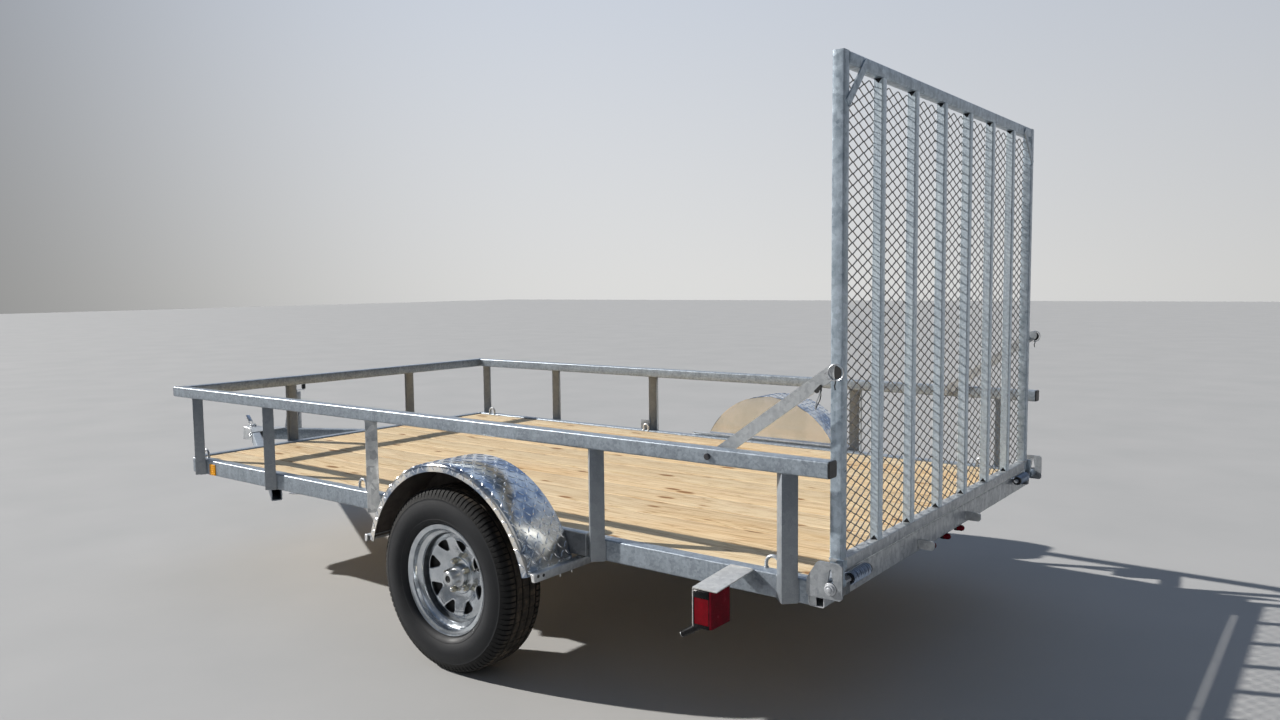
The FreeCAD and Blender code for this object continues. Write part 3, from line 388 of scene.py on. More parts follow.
def floor_material():
    m, nt, bs = nodes_of("floor_plain")
    co = obj_coord(nt)
    n = tex(nt, "ShaderNodeTexNoise", co, 1.3, Detail=4.0)
    c = ramp(nt, n.outputs["Fac"], [(0.3, (0.42, 0.418, 0.41)), (0.7, (0.455, 0.45, 0.44))])
    nt.links.new(c.outputs["Color"], bs.inputs["Base Color"])
    bs.inputs["Roughness"].default_value = 0.9
    return m


# ------------------------------------------------------------------ mesh helpers
class Build:
    def __init__(self):
        self.v, self.f, self.m = [], [], []

    def add(self, verts, faces, mat=0):
        n = len(self.v)
        self.v += [tuple(p) for p in verts]
        self.f += [tuple(i + n for i in f) for f in faces]
        self.m += [mat] * len(faces)


def make(name, b, mats, body, replaces=(), angle=38.0, fix=True):
    me = bpy.data.meshes.new(name)
    me.from_pydata(b.v, [], b.f)
    if not isinstance(mats, (list, tuple)):
        mats = [mats]
    for m in mats:
        me.materials.append(m)
    for p, k in zip(me.polygons, b.m):
        p.material_index = min(k, len(mats) - 1)
    if fix:
        bm = bmesh.new()
        bm.from_mesh(me)
        bmesh.ops.remove_doubles(bm, verts=bm.verts, dist=1e-6)
        bmesh.ops.recalc_face_normals(bm, faces=bm.faces)
        bm.to_mesh(me)
        bm.free()
    me.shade_smooth()
    me.set_sharp_from_angle(angle=math.radians(angle))
    ob = bpy.data.objects.new(name, me)
    bpy.context.scene.collection.objects.link(ob)
    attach(ob, body)
    if replaces:
        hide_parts(*replaces)
    return ob


def fillet(pts, radii, n=3):
    """Round the corners of a closed outline."""
    out = []
    k = len(pts)
    for i in range(k):
        r = radii[i] if isinstance(radii, (list, tuple)) else radii
        a, b, c = Vector(pts[i - 1]), Vector(pts[i]), Vector(pts[(i + 1) % k])
        if r <= 0:
            out.append(tuple(b))
            continue
        u, w = (a - b).normalized(), (c - b).normalized()
        ang = math.acos(max(-1, min(1, u.dot(w))))
        t = min(r / math.tan(ang / 2), 0.49 * (a - b).length, 0.49 * (c - b).length)
        r = t * math.tan(ang / 2)
        p0, p1 = b + u * t, b + w * t
        cen = b + (u + w).normalized() * (r / math.sin(ang / 2))
        a0 = math.atan2(p0.y - cen.y, p0.x - cen.x)
        a1 = math.atan2(p1.y - cen.y, p1.x - cen.x)
        d = (a1 - a0 + math.pi) % (2 * math.pi) - math.pi
        for j in range(n + 1):
            t2 = a0 + d * j / n
            out.append((cen.x + r * math.cos(t2), cen.y + r * math.sin(t2)))
    return out


def rrect(w, h, r, n=3):
    return fillet([(-w / 2, -h / 2), (w / 2, -h / 2), (w / 2, h / 2), (-w / 2, h / 2)], r, n)


def bar(b, outer, at, U, V, W, length, inner=None, caps=(True, True), mat=0, cut0=None, cut1=None, cham=0.0):
    """Push an outline along W; inner makes it a tube; cut0/cut1 slant the ends."""
    at = Vector(at)
    k = len(outer)
    cu = sum(p[0] for p in outer) / k
    cv = sum(p[1] for p in outer) / k

    def ring(pts, w, cut, inset=0.0):
        res = []
        for u, v in pts:
            if inset:
                L = math.hypot(u - cu, v - cv)
                f = (L - inset) / L if L > 1e-9 else 1
                u2, v2 = cu + (u - cu) * f, cv + (v - cv) * f
            else:
                u2, v2 = u, v
            ww = w + (cut(u2, v2) if cut else 0.0)
            res.append(at + U * u2 + V * v2 + W * ww)
        return res

    rings = []
    if cham:
        rings = [ring(outer, 0, cut0, cham), ring(outer, cham, cut0), ring(outer, length - cham, cut1), ring(outer, length, cut1, cham)]
    else:
        rings = [ring(outer, 0, cut0), ring(outer, length, cut1)]
    vs, fs = [], []
    for r in rings:
        vs += r
    for q in range(len(rings) - 1):
        for i in range(k):
            j = (i + 1) % k
            fs.append((q * k + i, q * k + j, (q + 1) * k + j, (q + 1) * k + i))
    last = (len(rings) - 1) * k
    if inner:
        assert len(inner) == k
        i0 = len(vs)
        vs += ring(inner, 0, cut0) + ring(inner, length, cut1)
        for i in range(k):
            j = (i + 1) % k
            fs.append((i0 + j, i0 + i, i0 + k + i, i0 + k + j))
            fs.append((i, i0 + i, i0 + j, j))
            fs.append((last + j, i0 + k + j, i0 + k + i, last + i))
    else:
        if caps[0]:
            fs.append(tuple(range(k - 1, -1, -1)))
        if caps[1]:
            fs.append(tuple(range(last, last + k)))
    b.add(vs, fs, mat)


def block(b, lo, hi, r=0.002, cham=0.0008, mat=0, n=2, axis="x"):
    """A rounded box from corner to corner; axis is the way its long edges run."""
    lo, hi = Vector(lo), Vector(hi)
    c = (lo + hi) / 2
    s = hi - lo
    ax = {"x": (EY, EZ, EX, s.y, s.z, s.x), "y": (EZ, EX, EY, s.z, s.x, s.y), "z": (EX, EY, EZ, s.x, s.y, s.z)}[axis]
    U, V, W, w, h, L = ax
    bar(b, rrect(w, h, min(r, 0.49 * w, 0.49 * h), n), c - W * (L / 2), U, V, W, L, mat=mat, cham=cham)


def tube(b, w, h, wall, r, at, U, V, W, length, mat=0, cut0=None, cut1=None, n=3):
    """Rectangular tube with rounded edges, centred on its line."""
    bar(b, rrect(w, h, r, n), at, U, V, W, length, rrect(w - 2 * wall, h - 2 * wall, max(r - wall, 0.001), n), mat=mat, cut0=cut0, cut1=cut1)


def rev(b, prof, at, U, V, W, n=48, mat=0, closed=False, a0=0.0, a1=2 * math.pi, caps=False):
    """Turn (along W, radius) points about W."""
    at = Vector(at)
    full = abs(a1 - a0 - 2 * math.pi) < 1e-6
    steps = n if full else n + 1
    k = len(prof)
    vs, fs = [], []
    for i in range(steps):
        t = a0 + (a1 - a0) * i / n
        d = U * math.cos(t) + V * math.sin(t)
        for a, r in prof:
            vs.append(at + W * a + d * r)
    m = k if closed else k - 1
    for i in range(n):
        j = (i + 1) % steps
        for q in range(m):
            p = (q + 1) % k
            fs.append((i * k + q, j * k + q, j * k + p, i * k + p))
    if caps and not full:
        fs.append(tuple(range(k)))
        fs.append(tuple(range((steps - 1) * k + k - 1, (steps - 1) * k - 1, -1)))
    b.add(vs, fs, mat)


def axes(W):
    W = Vector(W).normalized()
    U = W.orthogonal().normalized()
    return U, W.cross(U), W


def disc(b, at, W, prof, n=32, mat=0):
    U, V, W = axes(W)
    rev(b, prof, at, U, V, W, n, mat)


def hexhead(b, at, W, af, h, mat=0, washer=0.0, turn=0.0):
    """Hexagon head with a chamfered top, and a washer under it."""
    U, V, W = axes(W)
    at = Vector(at)
    if washer:
        t = 0.002
        rev(b, [(0, 0.0), (0, washer), (t * 0.7, washer), (t, washer - 0.0006), (t, 0.0)], at, U, V, W, 32, mat)
        at = at + W * t
    R = af / math.sqrt(3)
    vs, fs = [], []
    levels = [(0, 1.0), (h * 0.82, 1.0), (h, 0.84), (h * 0.94, 0.52)]
    for a, f in levels:
        for i in range(6):
            t = turn + i * math.pi / 3
            vs.append(at + W * a + (U * math.cos(t) + V * math.sin(t)) * R * f)
    for q in range(len(levels) - 1):
        for i in range(6):
            j = (i + 1) % 6
            fs.append((q * 6 + i, q * 6 + j, (q + 1) * 6 + j, (q + 1) * 6 + i))
    fs.append(tuple(range(18, 24)))
    fs.append(tuple(range(5, -1, -1)))
    b.add(vs, fs, mat)


def sweep(b, pts, r, n=10, mat=0, closed=False, caps=True, radii=None):
    """A round rod along points."""
    pts = [Vector(p) for p in pts]
    m = len(pts)
    tans = []
    for i in range(m):
        if closed:
            t = pts[(i + 1) % m] - pts[i - 1]
        else:
            t = pts[min(i + 1, m - 1)] - pts[max(i - 1, 0)]
        tans.append(t.normalized())
    U = tans[0].orthogonal().normalized()
    vs, fs = [], []
    for i in range(m):
        if i:
            U = (U - tans[i] * U.dot(tans[i])).normalized()
        V = tans[i].cross(U)
        rr = radii[i] if radii else r
        for j in range(n):
            t = 2 * math.pi * j / n
            vs.append(pts[i] + (U * math.cos(t) + V * math.sin(t)) * rr)
    segs = m if closed else m - 1
    for i in range(segs):
        i2 = (i + 1) % m
        for j in range(n):
            j2 = (j + 1) % n
            fs.append((i * n + j, i * n + j2, i2 * n + j2, i2 * n + j))
    if caps and not closed:
        fs.append(tuple(range(n - 1, -1, -1)))
        fs.append(tuple(range((m - 1) * n, m * n)))
    b.add(vs, fs, mat)


def bead(b, a, c, r=0.0028, mat=0, seed=0, step=0.0045):
    """A weld bead: a rod of small overlapping ripples."""
    a, c = Vector(a), Vector(c)
    L = (c - a).length
    n = max(3, int(L / step))
    rnd = random.Random(seed + int(L * 1e5))
    pts, rad = [], []
    for i in range(2 * n + 1):
        pts.append(a + (c - a) * (i / (2.0 * n)))
        e = 0.55 if i in (0, 2 * n) else 1.0
        rad.append(r * e * ((1.10 if i % 2 else 0.86) + rnd.uniform(-0.06, 0.06)))
    sweep(b, pts, r, 7, mat, radii=rad)


# ------------------------------------------------------------------ sizes (metres, from part.py)
HALF = 1.045
F_TOP, F_BOT = 0.542, 0.4658
FW = 0.0508
RAIL_IN, RAIL_OUT = 1.0345, 1.0853
R_TOP, R_BOT = 0.911, 0.8602
REAR, FRONT = -1.424, 2.252
R_REAR, R_FRONT = -1.452, 2.2923

# ------------------------------------------------------------------ frame tubes
for side, s in SIDES:
    b = Build()
    tube(b, FW, 0.0762, 0.0032, 0.006, P(REAR + FW, s * (HALF - FW / 2), (F_TOP + F_BOT) / 2), EY, EZ, EX, FRONT - REAR - FW,
         cut1=lambda u, v, s=s: -(FW / 2 + s * u))
    make("frame_rail_" + side, b, GALV, FRAME_BODY, ["side_rail_" + side])

b = Build()
tube(b, FW, 0.0762, 0.0032, 0.006, P(FRONT - FW / 2, -(HALF - FW), (F_TOP + F_BOT) / 2), -EX, EZ, EY, 2 * (HALF - FW))
for s in (1, -1):
    bead(b, P(FRONT - 0.001, s * (HALF - FW), F_BOT + 0.006), P(FRONT - 0.001, s * (HALF - FW), F_TOP - 0.006))
    bead(b, P(FRONT - FW + 0.005, s * (HALF - FW), F_TOP - 0.001), P(FRONT - 0.006, s * (HALF - FW), F_TOP - 0.001))
make("beam_front", b, GALV, FRAME_BODY, ["front_beam"])

b = Build()
tube(b, FW, 0.0762, 0.0032, 0.006, P(REAR + FW / 2, -HALF, (F_TOP + F_BOT) / 2), -EX, EZ, EY, 2 * HALF)
# the two plates standing out behind, with rounded ends
for ty in (0.310, -0.190):
    out = fillet([(0.0, 0.477), (0.060, 0.477), (0.060, 0.511), (0.0, 0.511)], [0, 0.012, 0.012, 0], 5)
    bar(b, out, P(REAR + 0.001, ty - 0.005, 0), -EX, EZ, EY, 0.010, cham=0.0008, mat=1)
    for e in (1, -1):
        bead(b, P(REAR - 0.001, ty + e * 0.006, 0.480), P(REAR - 0.001, ty + e * 0.006, 0.508), 0.0026)
for s in (1, -1):
    bead(b, P(REAR + FW, s * (HALF - 0.001), F_BOT + 0.008), P(REAR + FW, s * (HALF - 0.001), F_TOP - 0.008), 0.0024)
    # plate that closes the forward part of the tube's open end
    block(b, P(-1.398, min(s * (HALF - 0.004), s * (HALF - 0.0004)), F_BOT + 0.0034), P(-1.3766, max(s * (HALF - 0.004), s * (HALF - 0.0004)), F_TOP - 0.0034), 0.0012, 0.0005, axis="z", mat=1)
# the rear beam takes the paler zinc: painted light on its rear faces
make("beam_rear", b, [GALV_REAR_PAINTED_LIGHT, GALV_PALE], FRAME_BODY, ["rear_beam"])

# ------------------------------------------------------------------ deck
rnd = random.Random(7)
b = Build()
DECK_X0, DECK_L = REAR + FW + 0.002, 3.5704
DECK_W = 2 * (HALF - FW - 0.002)
pitch = DECK_W / 11
board_of = []
for i in range(11):
    y = -DECK_W / 2 + pitch * (i + 0.5)
    gap = 0.0042 + rnd.uniform(-0.0008, 0.0012)
    lift = rnd.uniform(-0.0012, 0.0)
    # rounded top arrises, seen from the end as (across, up)
    w = pitch - gap
    out = fillet([(-w / 2, 0), (w / 2, 0), (w / 2, 0.033), (-w / 2, 0.033)], [0.002, 0.002, 0.0045, 0.0045], 3)
    n0 = len(b.v)
    segs = 24
    k = len(out)
    vs, fs = [], []
    for q in range(segs + 1):
        x = DECK_L * q / segs
        wob = 0.0006 * math.sin(q * 0.9 + i * 2.1) + 0.0004 * math.sin(q * 2.3 + i)
        for u, v in out:
            vs.append(P(DECK_X0 + x, y + u + wob * 0.4, 0.504 + v + lift + (wob if v > 0.02 else 0) * 0.8 - 0.0006))
    for q in range(segs):
        for j in range(k):
            j2 = (j + 1) % k
            fs.append((q * k + j, q * k + j2, (q + 1) * k + j2, (q + 1) * k + j))
    fs.append(tuple(range(k - 1, -1, -1)))
    fs.append(tuple(range(segs * k, segs * k + k)))
    b.add(vs, fs, 0)
    board_of += [(3.7 * i + rnd.uniform(0, 2), 5.3 * i + rnd.uniform(0, 2), 2.9 * i)] * (len(b.v) - n0)
ob = make("deck_boards", b, PINE, FRAME_BODY, ["deck"], fix=False)
at = ob.data.attributes.new("board", "FLOAT_VECTOR", "POINT")
flat = []
for v in board_of:
    flat += list(v)
at.data.foreach_set("vector", flat)

# ------------------------------------------------------------------ top rails
for side, s in SIDES:
    b = Build()
    yc = s * (RAIL_IN + RAIL_OUT) / 2
    # slanted at the front corner: the outer edge reaches furthest
    tube(b, FW, FW, 0.003, 0.006, P(R_REAR, yc, (R_TOP + R_BOT) / 2), EY, EZ, EX, R_FRONT - R_REAR - FW / 2,
         cut1=lambda u, v, s=s: s * u)
    # mitre weld
    bead(b, P(R_FRONT - FW + 0.003, s * (RAIL_IN + 0.003), R_TOP - 0.0008), P(R_FRONT - 0.004, s * (RAIL_OUT - 0.004), R_TOP - 0.0008), 0.0026)
    bead(b, P(R_FRONT - 0.0012, s * (RAIL_OUT - 0.0012), R_BOT + 0.004), P(R_FRONT - 0.0012, s * (RAIL_OUT - 0.0012), R_TOP - 0.004), 0.0022)
    make("rail_side_" + side, b, GALV, FRAME_BODY, ["top_rail_" + side])
    # moulded cap in the rail's rear end
    b = Build()
    bar(b, rrect(FW - 0.001, FW - 0.001, 0.007, 4), P(R_REAR - 0.0055, yc, (R_TOP + R_BOT) / 2), EY, EZ, EX, 0.0055, cham=0.0015)
    bar(b, rrect(FW - 0.0075, FW - 0.0075, 0.004, 4), P(R_REAR - 0.001, yc, (R_TOP + R_BOT) / 2), EY, EZ, EX, 0.016)
    make("rail_cap_" + side, b, BLACK, FRAME_BODY)
b = Build()
tube(b, FW, FW, 0.003, 0.006, P(R_FRONT - FW / 2, -(RAIL_OUT - FW / 2), (R_TOP + R_BOT) / 2), -EX, EZ, EY, 2 * (RAIL_OUT - FW / 2),
     cut0=lambda u, v: u, cut1=lambda u, v: -u)
make("rail_front", b, GALV, FRAME_BODY, ["top_rail_front"])

# V posts: rolled angle, heel outward
LEG, TH = 0.0508, 0.0048
POST = fillet([(0, 0), (LEG, 0), (LEG, TH), (TH, TH), (TH, LEG), (0, LEG)], [0.0016, 0.0006, 0.0030, 0.0045, 0.0030, 0.0006], 3)
q2 = math.sqrt(0.5)


def post(name, node, heel, out_dir, mat=None):
    """heel: the outer edge's place at the foot; out_dir points away from the frame."""
    b = Build()
    along = Vector((-out_dir.y, out_dir.x, 0))
    U = (-out_dir + along).normalized()
    V = (-out_dir - along).normalized()
    L = R_BOT - F_BOT
    bar(b, POST, heel, U, V, EZ, L, cham=0.0006)
    # welds where the legs' toes meet the frame, and under the rail
    reach = (LEG + TH) * q2
    for sgn in (1, -1):
        toe = heel - out_dir * (reach - 0.001) + along * (sgn * (LEG * q2 + 0.0008))
        bead(b, toe + EZ * 0.003, toe + EZ * 0.073, 0.0024, seed=sgn)
        tip = heel + EZ * (L - 0.0006)
        bead(b, tip + (U if sgn > 0 else V) * 0.004 , tip + (U if sgn > 0 else V) * (LEG - 0.002), 0.0024, seed=3 + sgn)
    # posts are in the darker zinc: painted shade
    make(name, b, mat or GALV_POST_PAINTED_SHADE, FRAME_BODY, [node])


for side, s in SIDES:
    # number, place along X on the left side, and on the right side
    for i, px_left, px_right in ((1, 2.107, 2.190), (2, 1.463, 1.541), (3, 0.683, 0.751), (4, -0.558, -0.558), (5, -1.3035, -1.3035)):
        px = px_left if s > 0 else px_right
        # the near-side third post takes the streaky bright zinc, a painted reflection of light off the fender
        post("v_post_%s_%d" % (side, i), "post_%s_%d" % (side, i), P(px, s * (HALF + (LEG + TH) * q2), F_BOT), EY * s,
             GALV_PAINTED_REFLECTION if i == 3 and s > 0 else None)
for side, s in SIDES:
    post("v_post_front_" + side, "front_post_" + side, P(FRONT + (LEG + TH) * q2, s * 0.425, F_BOT), EX.copy())

# ------------------------------------------------------------------ tongue and coupler
ang = math.radians(28.0)
ca, sa = math.cos(ang), math.sin(ang)
for side, s in SIDES:
    b = Build()
    D = Vector((ca, -s * sa, 0))          # towards the front
    Nn = Vector((sa, s * ca, 0))          # out of the outer face
    start = P(3.385, 0, (F_BOT + 0.3896) / 2) - D * (2.035 + 0.074)
    tube(b, FW, 0.0762, 0.0048, 0.007, start, Nn, EZ, D, 2.035)
    # weld where the front beam sits on it
    for e in (1, -1):
        d0 = (3.385 - FRONT) / ca
        c0 = P(3.385, 0, F_BOT - 0.0006) - D * d0 + Nn * (e * FW / 2)
        bead(b, c0 - D * 0.045, c0 + D * 0.012 * e, 0.0026)
    make("tongue_tube_" + side, b, GALV, FRAME_BODY, ["tongue_" + side])

slope = sa / ca
lip = 0.0254 / ca


def tongue_y(x):
    return (3.385 - x) * slope + lip


b = Build()
ct = 0.0046
over = 0.004 / ca
xa, xb = 3.170, 3.345
plan = [(xa, -tongue_y(xa) - over), (xb, -tongue_y(xb) - over), (xb, tongue_y(xb) + over), (xa, tongue_y(xa) + over)]
bar(b, fillet(plan, [0.010, 0.002, 0.002, 0.010], 4), P(0, 0, F_BOT), EX, EY, EZ, ct, cham=0.0008)
for s in (1, -1):
    a3, c3 = P(xa, s * (tongue_y(xa) + over / 2), 0), P(xb, s * (tongue_y(xb) + over / 2), 0)
    D = (c3 - a3).normalized()
    L = (c3 - a3).length
    out = fillet([(0, 0.400), (L, 0.400), (L, F_BOT + ct), (0, F_BOT + ct)], [0.012, 0.002, 0.001, 0.001], 4)
    Nn = Vector((0, 0, 0)) + Vector((-D.y, D.x, 0)) * s
    bar(b, out, a3 - Nn * 0.002, D, EZ, Nn, 0.004, cham=0.0007)
    # bolts through the tongue, and the weld along the flange's foot
    for t in (0.28, 0.68):
        hexhead(b, a3 + D * (L * t) + Nn * 0.002 + EZ * 0.435, Nn, 0.019, 0.008, 1, washer=0.014)
    bead(b, a3 + Nn * 0.001 + EZ * 0.400 + D * 0.012, a3 + Nn * 0.001 + EZ * 0.400 + D * (L - 0.004), 0.0026)
# neck: pressed channel drawn in to the nose, rounded along its top edges
rings = []
for x, hw, zt, zb in ((3.330, 0.0545, F_BOT + ct, 0.400), (3.352, 0.0520, F_BOT + ct + 0.001, 0.392), (3.385, 0.0450, F_BOT + ct + 0.002, 0.387), (3.420, 0.0400, 0.4735, 0.385), (3.455, 0.0390, 0.4745, 0.385)):
    o = fillet([(-hw, zb), (hw, zb), (hw, zt), (-hw, zt)], [0.001, 0.001, 0.014, 0.014], 5)
    rings.append([P(x, u, v) for u, v in o])
k = len(rings[0])
vs = [p for r in rings for p in r]
fs = []
for q in range(len(rings) - 1):
    for i in range(k):
        j = (i + 1) % k
        fs.append((q * k + i, q * k + j, (q + 1) * k + j, (q + 1) * k + i))
fs.append(tuple(range(k)))
fs.append(tuple(range((len(rings) - 1) * k, len(rings) * k)))
b.add(vs, fs, 0)
# nose: a domed cup with a hollow for the ball and a turned-out lip
cup = [(0.0, 0.0262), (0.0, 0.0405), (0.003, 0.042), (0.007, 0.042), (0.010, 0.0400), (0.055, 0.0392), (0.068, 0.0370), (0.079, 0.0310), (0.086, 0.0200), (0.0895, 0.0)]
rev(b, cup, P(3.455, 0, 0.385), EX, EY, EZ, 48)
rev(b, [(0.0, 0.0262), (0.040, 0.0262), (0.053, 0.0227), (0.062, 0.0131), (0.066, 0.0)], P(3.455, 0, 0.385), EX, EY, EZ, 40, 1)
make("coupler_body", b, [GALV_PALE, ZINC], FRAME_BODY, ["coupler"])
# latch: a bent channel lever with a cross pin, lifted
b = Build()
pl = [(3.392, 0.472), (3.408, 0.470), (3.440, 0.497), (3.472, 0.538), (3.463, 0.546), (3.428, 0.508)]
for e in (1, -1):
    out = fillet([(x, z) for x, z in pl], 0.003, 3)
    bar(b, out, P(0, e * 0.011 - 0.0015, 0), EX, EZ, EY, 0.003, cham=0.0005)
web = fillet([(3.428, 0.508), (3.4305, 0.506), (3.466, 0.5425), (3.463, 0.546)], 0.0006, 2)
bar(b, web, P(0, -0.0125, 0), EX, EZ, EY, 0.025, cham=0.0004)
disc(b, P(3.400, -0.020, 0.479), EY, [(0, 0), (0, 0.0065), (0.001, 0.007), (0.004, 0.007), (0.004, 0.004), (0.036, 0.004), (0.036, 0.007), (0.039, 0.007), (0.040, 0.006), (0.040, 0)], 20)
for e in (1, -1):
    block(b, P(3.388, e * 0.016 - 0.002, 0.466), P(3.412, e * 0.016 + 0.002, 0.488), 0.004, 0.0005, axis="y")
make("coupler_latch", b, ZINC, FRAME_BODY)

# ------------------------------------------------------------------ jack
jx, jy = 3.185, -0.203
Dj = Vector((ca, sa, 0))                  # along the right tongue tube, towards the front
Nj = Vector((sa, -ca, 0))                 # out of its outer face
face = ((0.203 - (3.385 - 3.185) * slope) * ca) - 0.0254
boss_t = face - 0.0285 - 0.003 - 0.008
foot_at = P(jx, jy, 0)
base = foot_at - Nj * face
b = Build()
pln = fillet([(-0.022, 0.385), (0.060, 0.385), (0.060, 0.470), (0.036, 0.610), (-0.022, 0.610)], [0.008, 0.008, 0.02, 0.016, 0.016], 4)
bar(b, pln, base, Dj, EZ, Nj, 0.010, cham=0.001)
for e in (-0.0225, 0.0605):
    bead(b, base + Dj * e + Nj * 0.001 + EZ * 0.392, base + Dj * e + Nj * 0.001 + EZ * 0.462, 0.003)
disc(b, base + Nj * 0.009 + EZ * 0.560, Nj, [(0, 0), (0, 0.032), (boss_t - 0.011, 0.032), (boss_t - 0.009, 0.030), (boss_t - 0.009, 0.018), (boss_t + 0.012, 0.018), (boss_t + 0.012, 0.0)], 40)
make("jack_mount", b, [GALV_PALE], FRAME_BODY, ["jack_bracket"])
b = Build()
top, low = 0.705, 0.250
rev(b, [(low, 0.0249), (low, 0.0280), (low + 0.002, 0.0285), (top - 0.030, 0.0285), (top - 0.030, 0.0300), (top - 0.002, 0.0300), (top, 0.0285), (top, 0.0)], P(jx, jy, 0), EX, EY, EZ, 40)
rev(b, [(low, 0.0249), (low + 0.05, 0.0249)], P(jx, jy, 0), EX, EY, EZ, 40)
disc(b, foot_at - Nj * 0.0315 + EZ * 0.560, Nj, [(0, 0.0181), (0, 0.033), (0.001, 0.034), (0.022, 0.034), (0.022, 0.026)], 40)
disc(b, foot_at - Nj * 0.0315 + EZ * 0.560, Nj, [(0, 0.0181), (0.016, 0.0181), (0.016, 0.0)], 40)
make("jack_body", b, [GALV_PALE], "jack", ["jack_tube"])
b = Build()
rev(b, [(0.004, 0.0), (0.004, 0.0245), (0.300, 0.0245), (0.300, 0.0)], P(jx, jy, 0), EX, EY, EZ, 36)
out = rrect(0.120, 0.100, 0.010, 4)
bar(b, out, foot_at, Dj, Nj, EZ, 0.006, cham=0.001)
ringb = [foot_at + EZ * 0.0075 + (EX * math.cos(t) + EY * math.sin(t)) * 0.0262 for t in [2 * math.pi * i / 40 for i in range(40)]]
sweep(b, ringb, 0.0028, 7, closed=True)
# dark discs for the leg's pin holes: painted shade of the holes
for t in range(6):
    disc(b, foot_at + EZ * (0.06 + 0.03 * t) + Nj * 0.0242, Nj, [(0, 0.0), (0, 0.0052), (0.0008, 0.0050), (0.0008, 0.0)], 14, 1)
make("jack_foot_leg", b, [ZINC, DARK_STEEL], "jack", ["jack_leg"])
b = Build()
C = Vector((0.3, -0.954, 0)).normalized()
Cn = Vector((-C.y, C.x, 0))
rev(b, [(top, 0.0), (top, 0.008), (top + 0.0065, 0.008), (top + 0.007, 0.012), (top + 0.014, 0.012), (top + 0.015, 0.0105), (top + 0.015, 0.0)], P(jx, jy, 0), EX, EY, EZ, 24)
armo = fillet([(-0.010, -0.008), (0.084, -0.008), (0.084, 0.008), (-0.010, 0.008)], 0.0075, 5)
bar(b, armo, P(jx, jy, top + 0.007), C, Cn, EZ, 0.006, cham=0.0008)
grip = P(jx, jy, 0) + C * 0.076
rev(b, [(top + 0.005, 0.0), (top + 0.005, 0.0075), (top + 0.0145, 0.0075), (top + 0.0145, 0.0)], grip, EX, EY, EZ, 20)
g = []
for i in range(19):
    z = top + 0.0145 + 0.056 * i / 18
    g.append((z, 0.0142 if i % 3 else 0.0126))
rev(b, [(top + 0.0135, 0.0), (top + 0.0135, 0.0130)] + g + [(top + 0.0725, 0.0120), (top + 0.0735, 0.0090), (top + 0.0735, 0.0)], grip, EX, EY, EZ, 28, 1)
make("jack_handle", b, [ZINC, BLACK], "jack", ["jack_crank"])

# ------------------------------------------------------------------ springs and axle fittings
for side, s in SIDES:
    b = Build()
    yc = s * 1.020
    w = 0.045
    z0 = 0.374
    eye_z = F_BOT - 0.045
    rise = eye_z - z0
    # leaves from the shortest, each a bent strip
    for n_leaf, (hl, zz) in enumerate(((0.105, 0.0), (0.200, 0.0072), (0.290, 0.0144), (0.326, 0.0216))):
        top_l, bot_l = [], []
        for i in range(25):
            x = -hl + 2 * hl * i / 24
            z = z0 + zz + (rise - 0.021) * (abs(x) / 0.330) ** 1.7
            taper = 0.0066 if abs(x) < hl * 0.9 or n_leaf == 3 else 0.004
            top_l.append((x, z + taper))
            bot_l.append((x, z))
        out = top_l + bot_l[::-1]
        bar(b, out, P(0, yc - w / 2, 0), EX, EZ, EY, w, cham=0.0)
    for e in (1, -1):
        disc(b, P(e * 0.330, yc - w / 2, eye_z), EY, [(0, 0.008), (0, 0.0145), (0.001, 0.015), (w - 0.001, 0.015), (w, 0.0145), (w, 0.008)], 28)
        # hanger: two cheeks under the rail with the eye's bolt through them
        for q in (1, -1):
            yq = yc + q * (w / 2 - 0.003) - 0.003
            ch = fillet([(-0.021, 0.0), (0.021, 0.0), (0.021, 0.030), (0.012, 0.052), (-0.012, 0.052), (-0.021, 0.030)], [0.001, 0.001, 0.01, 0.01, 0.01, 0.01], 4)
            bar(b, [(x, F_BOT - v) for x, v in ch], P(e * 0.330, yq, 0), EX, EZ, EY, 0.006, cham=0.0006)
        hexhead(b, P(e * 0.330, yc + w / 2 - 0.0005, eye_z), EY, 0.022, 0.010, 1)
        hexhead(b, P(e * 0.330, yc - w / 2 + 0.0005, eye_z), -EY, 0.022, 0.010, 1)
    # clip bands round the leaves
    for e in (1, -1):
        block(b, P(e * 0.150 - 0.010, yc - w / 2 - 0.002, z0 + 0.004), P(e * 0.150 + 0.010, yc + w / 2 + 0.002, z0 + 0.038), 0.002, 0.0005, axis="y")
    make("leaf_spring_" + side, b, [GALV_DIM, ZINC], FRAME_BODY, ["spring_" + side])
    # U bolts and plate that hold the axle up to the leaves
    b = Build()
    for e in (1, -1):
        pts = []
        for i in range(9):
            t = math.pi * i / 8
            pts.append(P(e * 0.0, 0, 0) + EX * (0.0365 * math.cos(t + math.pi)) + EZ * (0.344 - 0.0365 * math.sin(t)))
        ends = [pts[0] + EZ * (0.413 - pts[0].z), pts[-1] + EZ * (0.413 - pts[-1].z)]
        line = [ends[0]] + pts + [ends[1]]
        line = [p + EY * (yc + e * 0.017) for p in line]
        sweep(b, line, 0.0058, 10, 1)
        for p in (line[0], line[-1]):
            hexhead(b, Vector((p.x, p.y, 0.4115)), EZ, 0.019, 0.009, 1)
    block(b, P(-0.055, yc - 0.030, 0.4045), P(0.055, yc + 0.030, 0.4115), 0.006, 0.0008, axis="z")
    make("axle_clamp_" + side, b, [GALV_DIM, ZINC], FRAME_BODY)

